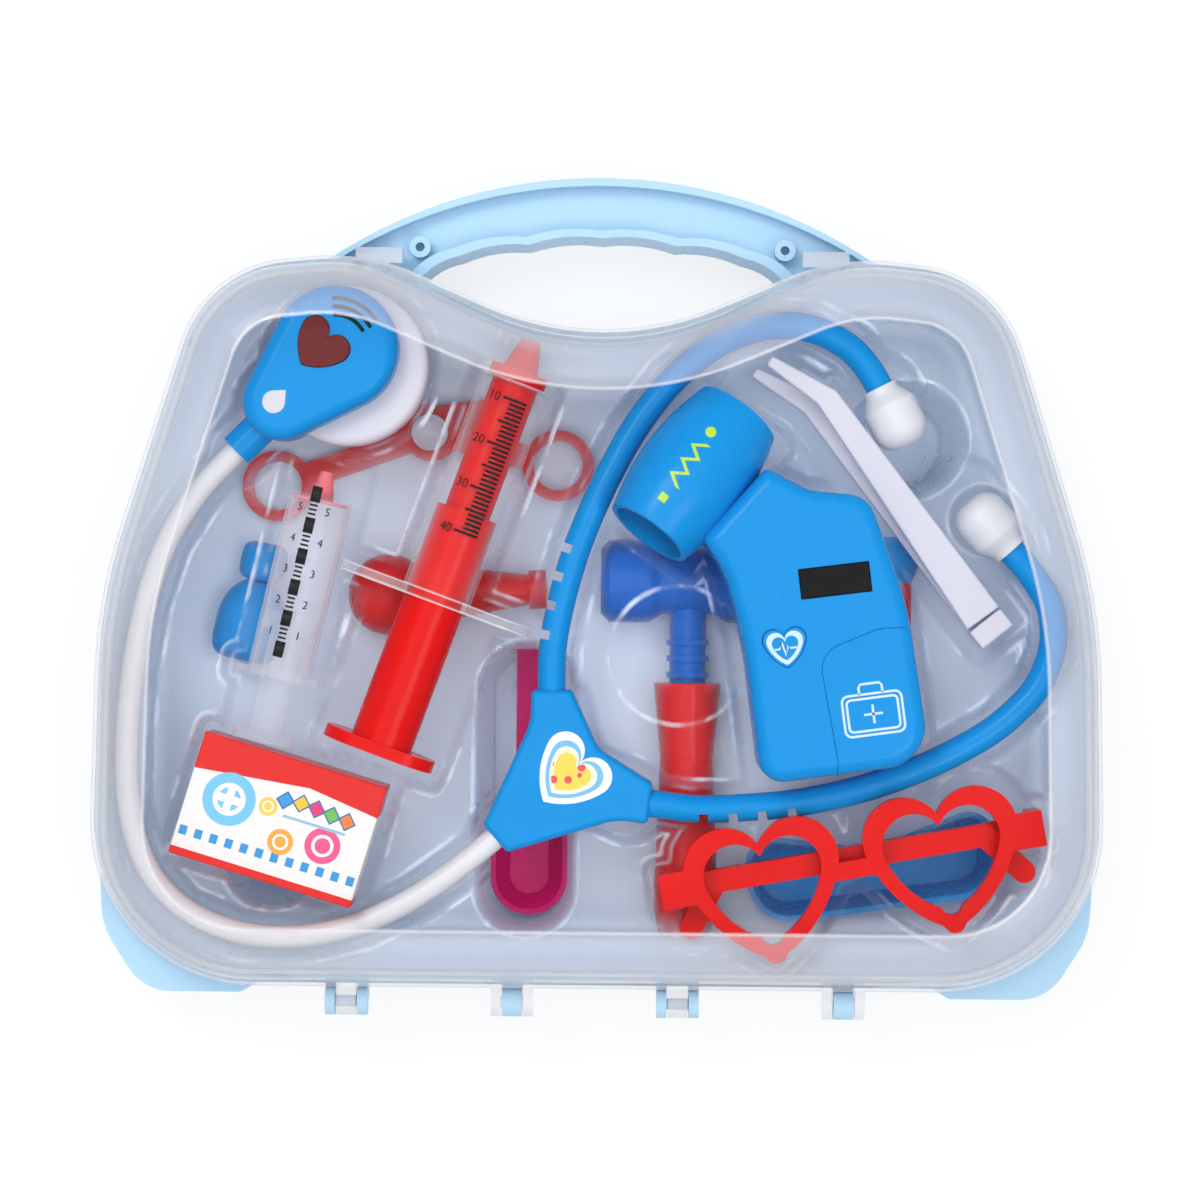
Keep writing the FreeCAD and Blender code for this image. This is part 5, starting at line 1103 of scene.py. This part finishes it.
class DOCTORCASE_OT_syringes(bpy.types.Operator):
    """Red syringe and clear dropper with their printed scales"""

    bl_idname = "doctor_case.syringes"
    bl_label = "Syringe and dropper"

    def execute(self, context):
        colours = context.scene.doctor_case_colours
        red = moulded("syringe_red", tuple(colours.red), rough=0.22, speck=0.05, coat=0.06)
        pink = moulded("dropper_pink", tone(232, 120, 130), rough=0.25)
        # Clear barrel with painted highlights on its finger wings and front edge.
        clear = clear_plastic("clear_barrel", tone(244, 246, 252), haze=0.012, edge=0.6, power=2.6,
                              rough=0.08, wave=0.03, marks=wing_glints)
        milky = clear_plastic("milky_barrel", tone(238, 239, 248), haze=0.11, edge=0.6, power=2.2,
                              rough=0.12, wave=0.03)
        ink = black_ink("scale_ink")
        finishes = {"syringe_barrel": clear, "syringe_core": red, "syringe_plunger": red,
                    "dropper_barrel": milky, "dropper_tip": pink, "dropper_plunger": milky}
        for node, finish in finishes.items():
            dress(node, finish)

        # Syringe: marks that start on one line, longer at each fifth and tenth, and a number at each tenth
        barrel = (SYRINGE, SYRINGE_TURN, SEAT + SYRINGE_RADIUS, SYRINGE_RADIUS)
        first, pitch, mark = 18.0, 1.3, np.arange(31)
        lengths = np.where(mark % 10 == 0, 7.0, np.where(mark % 5 == 0, 6.2, 4.8))
        middles = lengths / 2.0 - 5.6
        scale_marks("syringe_scale", barrel, first + mark * pitch, lengths, 0.66, middles, ink)
        tens = (18.3, 31.3, 44.3, 57.0)
        scale_numbers("syringe_numbers", ("40", "30", "20", "10"), barrel, tens, 4.0, 3.6, ink)

        # Dropper: groups of a block and three thin marks, with a number on both sides of each group
        barrel = (DROPPER, DROPPER_TURN, SEAT + DROPPER_RADIUS, DROPPER_RADIUS)
        first, pitch, group, mark = 4.0, 8.8, 4, np.arange(21)
        block = mark % group == 0
        starts = first + (mark // group) * pitch + np.where(block, 0.0, 3.9 + mark % group * 1.25)
        lengths, widths = np.where(block, 2.8, 2.2), np.where(block, 4.4, 0.55)
        scale_marks("dropper_scale", barrel, starts, lengths, widths, 0.8, ink)
        places = 10.7 + np.arange(5) * pitch
        for name, middle in (("dropper_numbers", 4.6), ("dropper_numbers_far", -3.4)):
            scale_numbers(name, ("1", "2", "3", "4", "5"), barrel, places, middle, 3.2, ink)
        return {"FINISHED"}


class DOCTORCASE_OT_carton(bpy.types.Operator):
    """Printed medicine carton"""

    bl_idname = "doctor_case.carton"
    bl_label = "Medicine carton"

    def execute(self, context):
        finish = printed_carton("carton_print")
        dress("carton_sleeve", finish, bevel=0.35, segments=2)
        dress("carton_end_flaps", finish, smooth_angle=32.0)
        return {"FINISHED"}


def flat_bands(name, lines, width, low, body, material):
    """Printed lines: a flat rectangle of one width carried along each line of places, its ends closed."""
    high = low + PRINT_RISE
    edge = ((-1.0, low), (-1.0, high), (1.0, high), (1.0, low), (-1.0, low))
    points, faces, count = [], [], 0
    for line in lines:
        line = np.asarray(line, float)
        size = len(line)
        ring = np.allclose(line[0], line[-1])
        run = np.vstack((line[-2], line, line[1])) if ring else line
        way = unit_rows(np.gradient(run, axis=0)[1:-1] if ring else np.gradient(run, axis=0))
        side = np.column_stack((-way[:, 1], way[:, 0])) * (width / 2.0)
        points.extend([np.column_stack((line + side * s, np.full(size, z))) for s, z in edge])
        faces.extend((ring_faces(len(edge), size, False) + count).tolist())
        if not ring:
            faces.extend([[count + end + row * size for row in range(4)] for end in (0, size - 1)])
        count += len(edge) * size
    return lay(name, np.concatenate(points), faces, body, material)


def rounded_box(half_width, half_height, radius, count=6):
    """Closed line round a rectangle with round corners, its first place again at the end."""
    angle = np.linspace(0.0, np.pi / 2.0, count)
    arc = np.column_stack((np.cos(angle), np.sin(angle))) * radius
    inner = np.array((half_width - radius, half_height - radius))
    signs = ((1, 1), (-1, 1), (-1, -1), (1, -1))
    line = np.concatenate([spun(arc, 90.0 * k) + inner * sign for k, sign in enumerate(signs)])
    return np.vstack((line, line[:1]))


class DOCTORCASE_OT_thermometer(bpy.types.Operator):
    """Infrared thermometer with its display, heart key and printed marks"""

    bl_idname = "doctor_case.thermometer"
    bl_label = "Thermometer"

    def execute(self, context):
        colours = context.scene.doctor_case_colours
        blue = moulded("thermometer_blue", tuple(colours.blue), coat=0.06)
        nose = moulded("nose_blue", tuple(colours.blue), coat=0.06, ink=nose_print)
        black = moulded("display_black", (0.002, 0.002, 0.003, 1.0), rough=0.2, speck=0.02)
        white = moulded("print_white", tone(206, 228, 246), rough=0.35, speck=0.02)
        steel = brushed_metal("gun_steel")
        for node in ("gun_front_shell", "gun_back_shell", "gun_battery_door"):
            dress(node, blue)
        dress("gun_nose", nose)
        dress("gun_display", black, bevel=0.15)
        dress("gun_heart_key", blue, bevel=0.6)
        coat("gun_board", moulded("gun_board_green", tone(40, 120, 70), rough=0.5))
        coat("gun_lamp", moulded("lamp_pink", tone(235, 150, 150), rough=0.2))
        for node in ("gun_cells", "gun_screws"):
            coat(node, steel)

        # Key: a heart outline round a pulse line
        key = np.array(GUN_KEY_SHARE) * GUN_SIZE + GUN
        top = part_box("gun_heart_key")[1][2] / MM
        high, inner = top + PRINT_RISE, 0.72
        ring = ((inner, top), (1.0, top), (1.0, high), (inner, high), (inner, top))
        heart_plate("key_heart_print", key, GUN_TURN, GUN_KEY_SIZE, ring, "gun_key", white)
        pulse = ((-3.0, 0.0), (-1.6, 0.0), (-0.9, 1.8), (0.0, -2.0), (0.8, 1.0), (1.3, 0.0), (3.0, 0.0))
        lines = (spun(pulse, GUN_TURN) + key,)
        flat_bands("key_pulse_print", lines, 0.55, top, "gun_key", white)

        # Battery door: a bag with a handle and a plus
        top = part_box("gun_battery_door")[1][2] / MM
        bag = (rounded_box(8.2, 5.6, 1.8), rounded_box(7.0, 4.4, 1.2),
               ((-3.2, 5.6), (-3.2, 7.6), (-2.6, 8.4), (2.6, 8.4), (3.2, 7.6), (3.2, 5.6)),
               ((-2.6, 0.0), (0.0, 0.0), (2.6, 0.0)), ((0.0, -2.6), (0.0, 0.0), (0.0, 2.6)))
        lines = [spun(line, GUN_TURN) + GUN_DOOR for line in bag]
        flat_bands("door_bag_print", lines, 0.65, top, "case", white)
        return {"FINISHED"}


class DOCTORCASE_OT_tweezers(bpy.types.Operator):
    """White tweezers"""

    bl_idname = "doctor_case.tweezers"
    bl_label = "Tweezers"

    def execute(self, context):
        colours = context.scene.doctor_case_colours
        white = moulded("tweezers_white", tuple(colours.white), rough=0.3, speck=0.02)
        for node in ("tweezers_fixed_arm", "tweezers_moving_arm"):
            dress(node, white, bevel=0.7)
        return {"FINISHED"}


class DOCTORCASE_OT_glasses(bpy.types.Operator):
    """Red heart-rim glasses, folded"""

    bl_idname = "doctor_case.glasses"
    bl_label = "Glasses"

    def execute(self, context):
        colours = context.scene.doctor_case_colours
        red = moulded("glasses_red", tuple(colours.red), rough=0.22, speck=0.05, coat=0.06)
        dress("glasses_frame", red, bevel=1.5, segments=4)
        for node in ("glasses_left_temple", "glasses_right_temple"):
            dress(node, red, bevel=0.6)
        coat("glasses_hinge_pins", brushed_metal("pin_steel"))
        return {"FINISHED"}


class DOCTORCASE_OT_lower_toys(bpy.types.Operator):
    """Toys in the lower layer: hammer, scissors, bulb, bottle, dish, otoscope and spoon"""

    bl_idname = "doctor_case.lower_toys"
    bl_label = "Lower toys"

    def execute(self, context):
        colours = context.scene.doctor_case_colours
        red = moulded("lower_red", tuple(colours.red), speck=0.05, coat=0.1)
        blue = moulded("lower_blue", tuple(colours.blue), speck=0.05, coat=0.1)
        deep = moulded("hammer_blue", tuple(colours.deep_blue), rough=0.28, speck=0.05, coat=0.1)
        white = moulded("lower_white", tuple(colours.white), rough=0.3, speck=0.02)
        crimson = moulded("spoon_crimson", tone(204, 4, 104), speck=0.05, coat=0.1)
        finishes = {"hammer_head": deep, "hammer_handle": red, "scissors_lever_a": red,
                    "scissors_lever_b": red, "scissors_rivet": white, "squeeze_bulb": red,
                    "kidney_dish": blue, "otoscope_handle": red, "otoscope_head": blue, "spoon": crimson}
        for node, finish in finishes.items():
            dress(node, finish)
        axis_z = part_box("bottle")[0][2] / MM + BOTTLE_RADIUS
        body = ((0.0, 0.0), (0.0, BOTTLE_RADIUS), (16.0, BOTTLE_RADIUS), (23.0, 5.0), (23.0, 0.0))
        lathe_skin("bottle", BOTTLE, BOTTLE_TURN, axis_z, rounded_profile(body, 6.0), blue)
        cap = ((23.15, 0.0), (23.15, 6.6), (34.15, 6.6), (34.15, 0.0))
        lathe_skin("bottle_cap", BOTTLE, BOTTLE_TURN, axis_z, rounded_profile(cap, 4.4), blue)
        return {"FINISHED"}


class DOCTORCASE_PT_panel(bpy.types.Panel):
    """Sidebar list of the case's pieces"""

    bl_idname = "DOCTORCASE_PT_panel"
    bl_label = "Doctor Case"
    bl_space_type = "VIEW_3D"
    bl_region_type = "UI"
    bl_category = "Doctor Case"

    def draw(self, context):
        column = self.layout.column()
        for group in (context.scene.doctor_case_colours, context.scene.doctor_case_sizes):
            for name in group.__annotations__:
                column.prop(group, name)
        for operator in OPERATORS:
            column.operator(operator.bl_idname)


OPERATORS = (DOCTORCASE_OT_stage, DOCTORCASE_OT_stethoscope, DOCTORCASE_OT_shell, DOCTORCASE_OT_tray,
             DOCTORCASE_OT_syringes, DOCTORCASE_OT_carton, DOCTORCASE_OT_thermometer, DOCTORCASE_OT_tweezers,
             DOCTORCASE_OT_glasses, DOCTORCASE_OT_lower_toys)
CLASSES = (DoctorCaseColours, DoctorCaseSizes, *OPERATORS, DOCTORCASE_PT_panel)


def register():
    for item in CLASSES:
        bpy.utils.register_class(item)
    bpy.types.Scene.doctor_case_colours = PointerProperty(type=DoctorCaseColours)
    bpy.types.Scene.doctor_case_sizes = PointerProperty(type=DoctorCaseSizes)


def unregister():
    del bpy.types.Scene.doctor_case_sizes
    del bpy.types.Scene.doctor_case_colours
    for item in reversed(CLASSES):
        bpy.utils.unregister_class(item)


def main():
    """Register the classes and make every piece in order."""
    register()
    for operator in OPERATORS:
        group, name = operator.bl_idname.split(".")
        getattr(getattr(bpy.ops, group), name)()


if __name__ == "__main__":
    main()
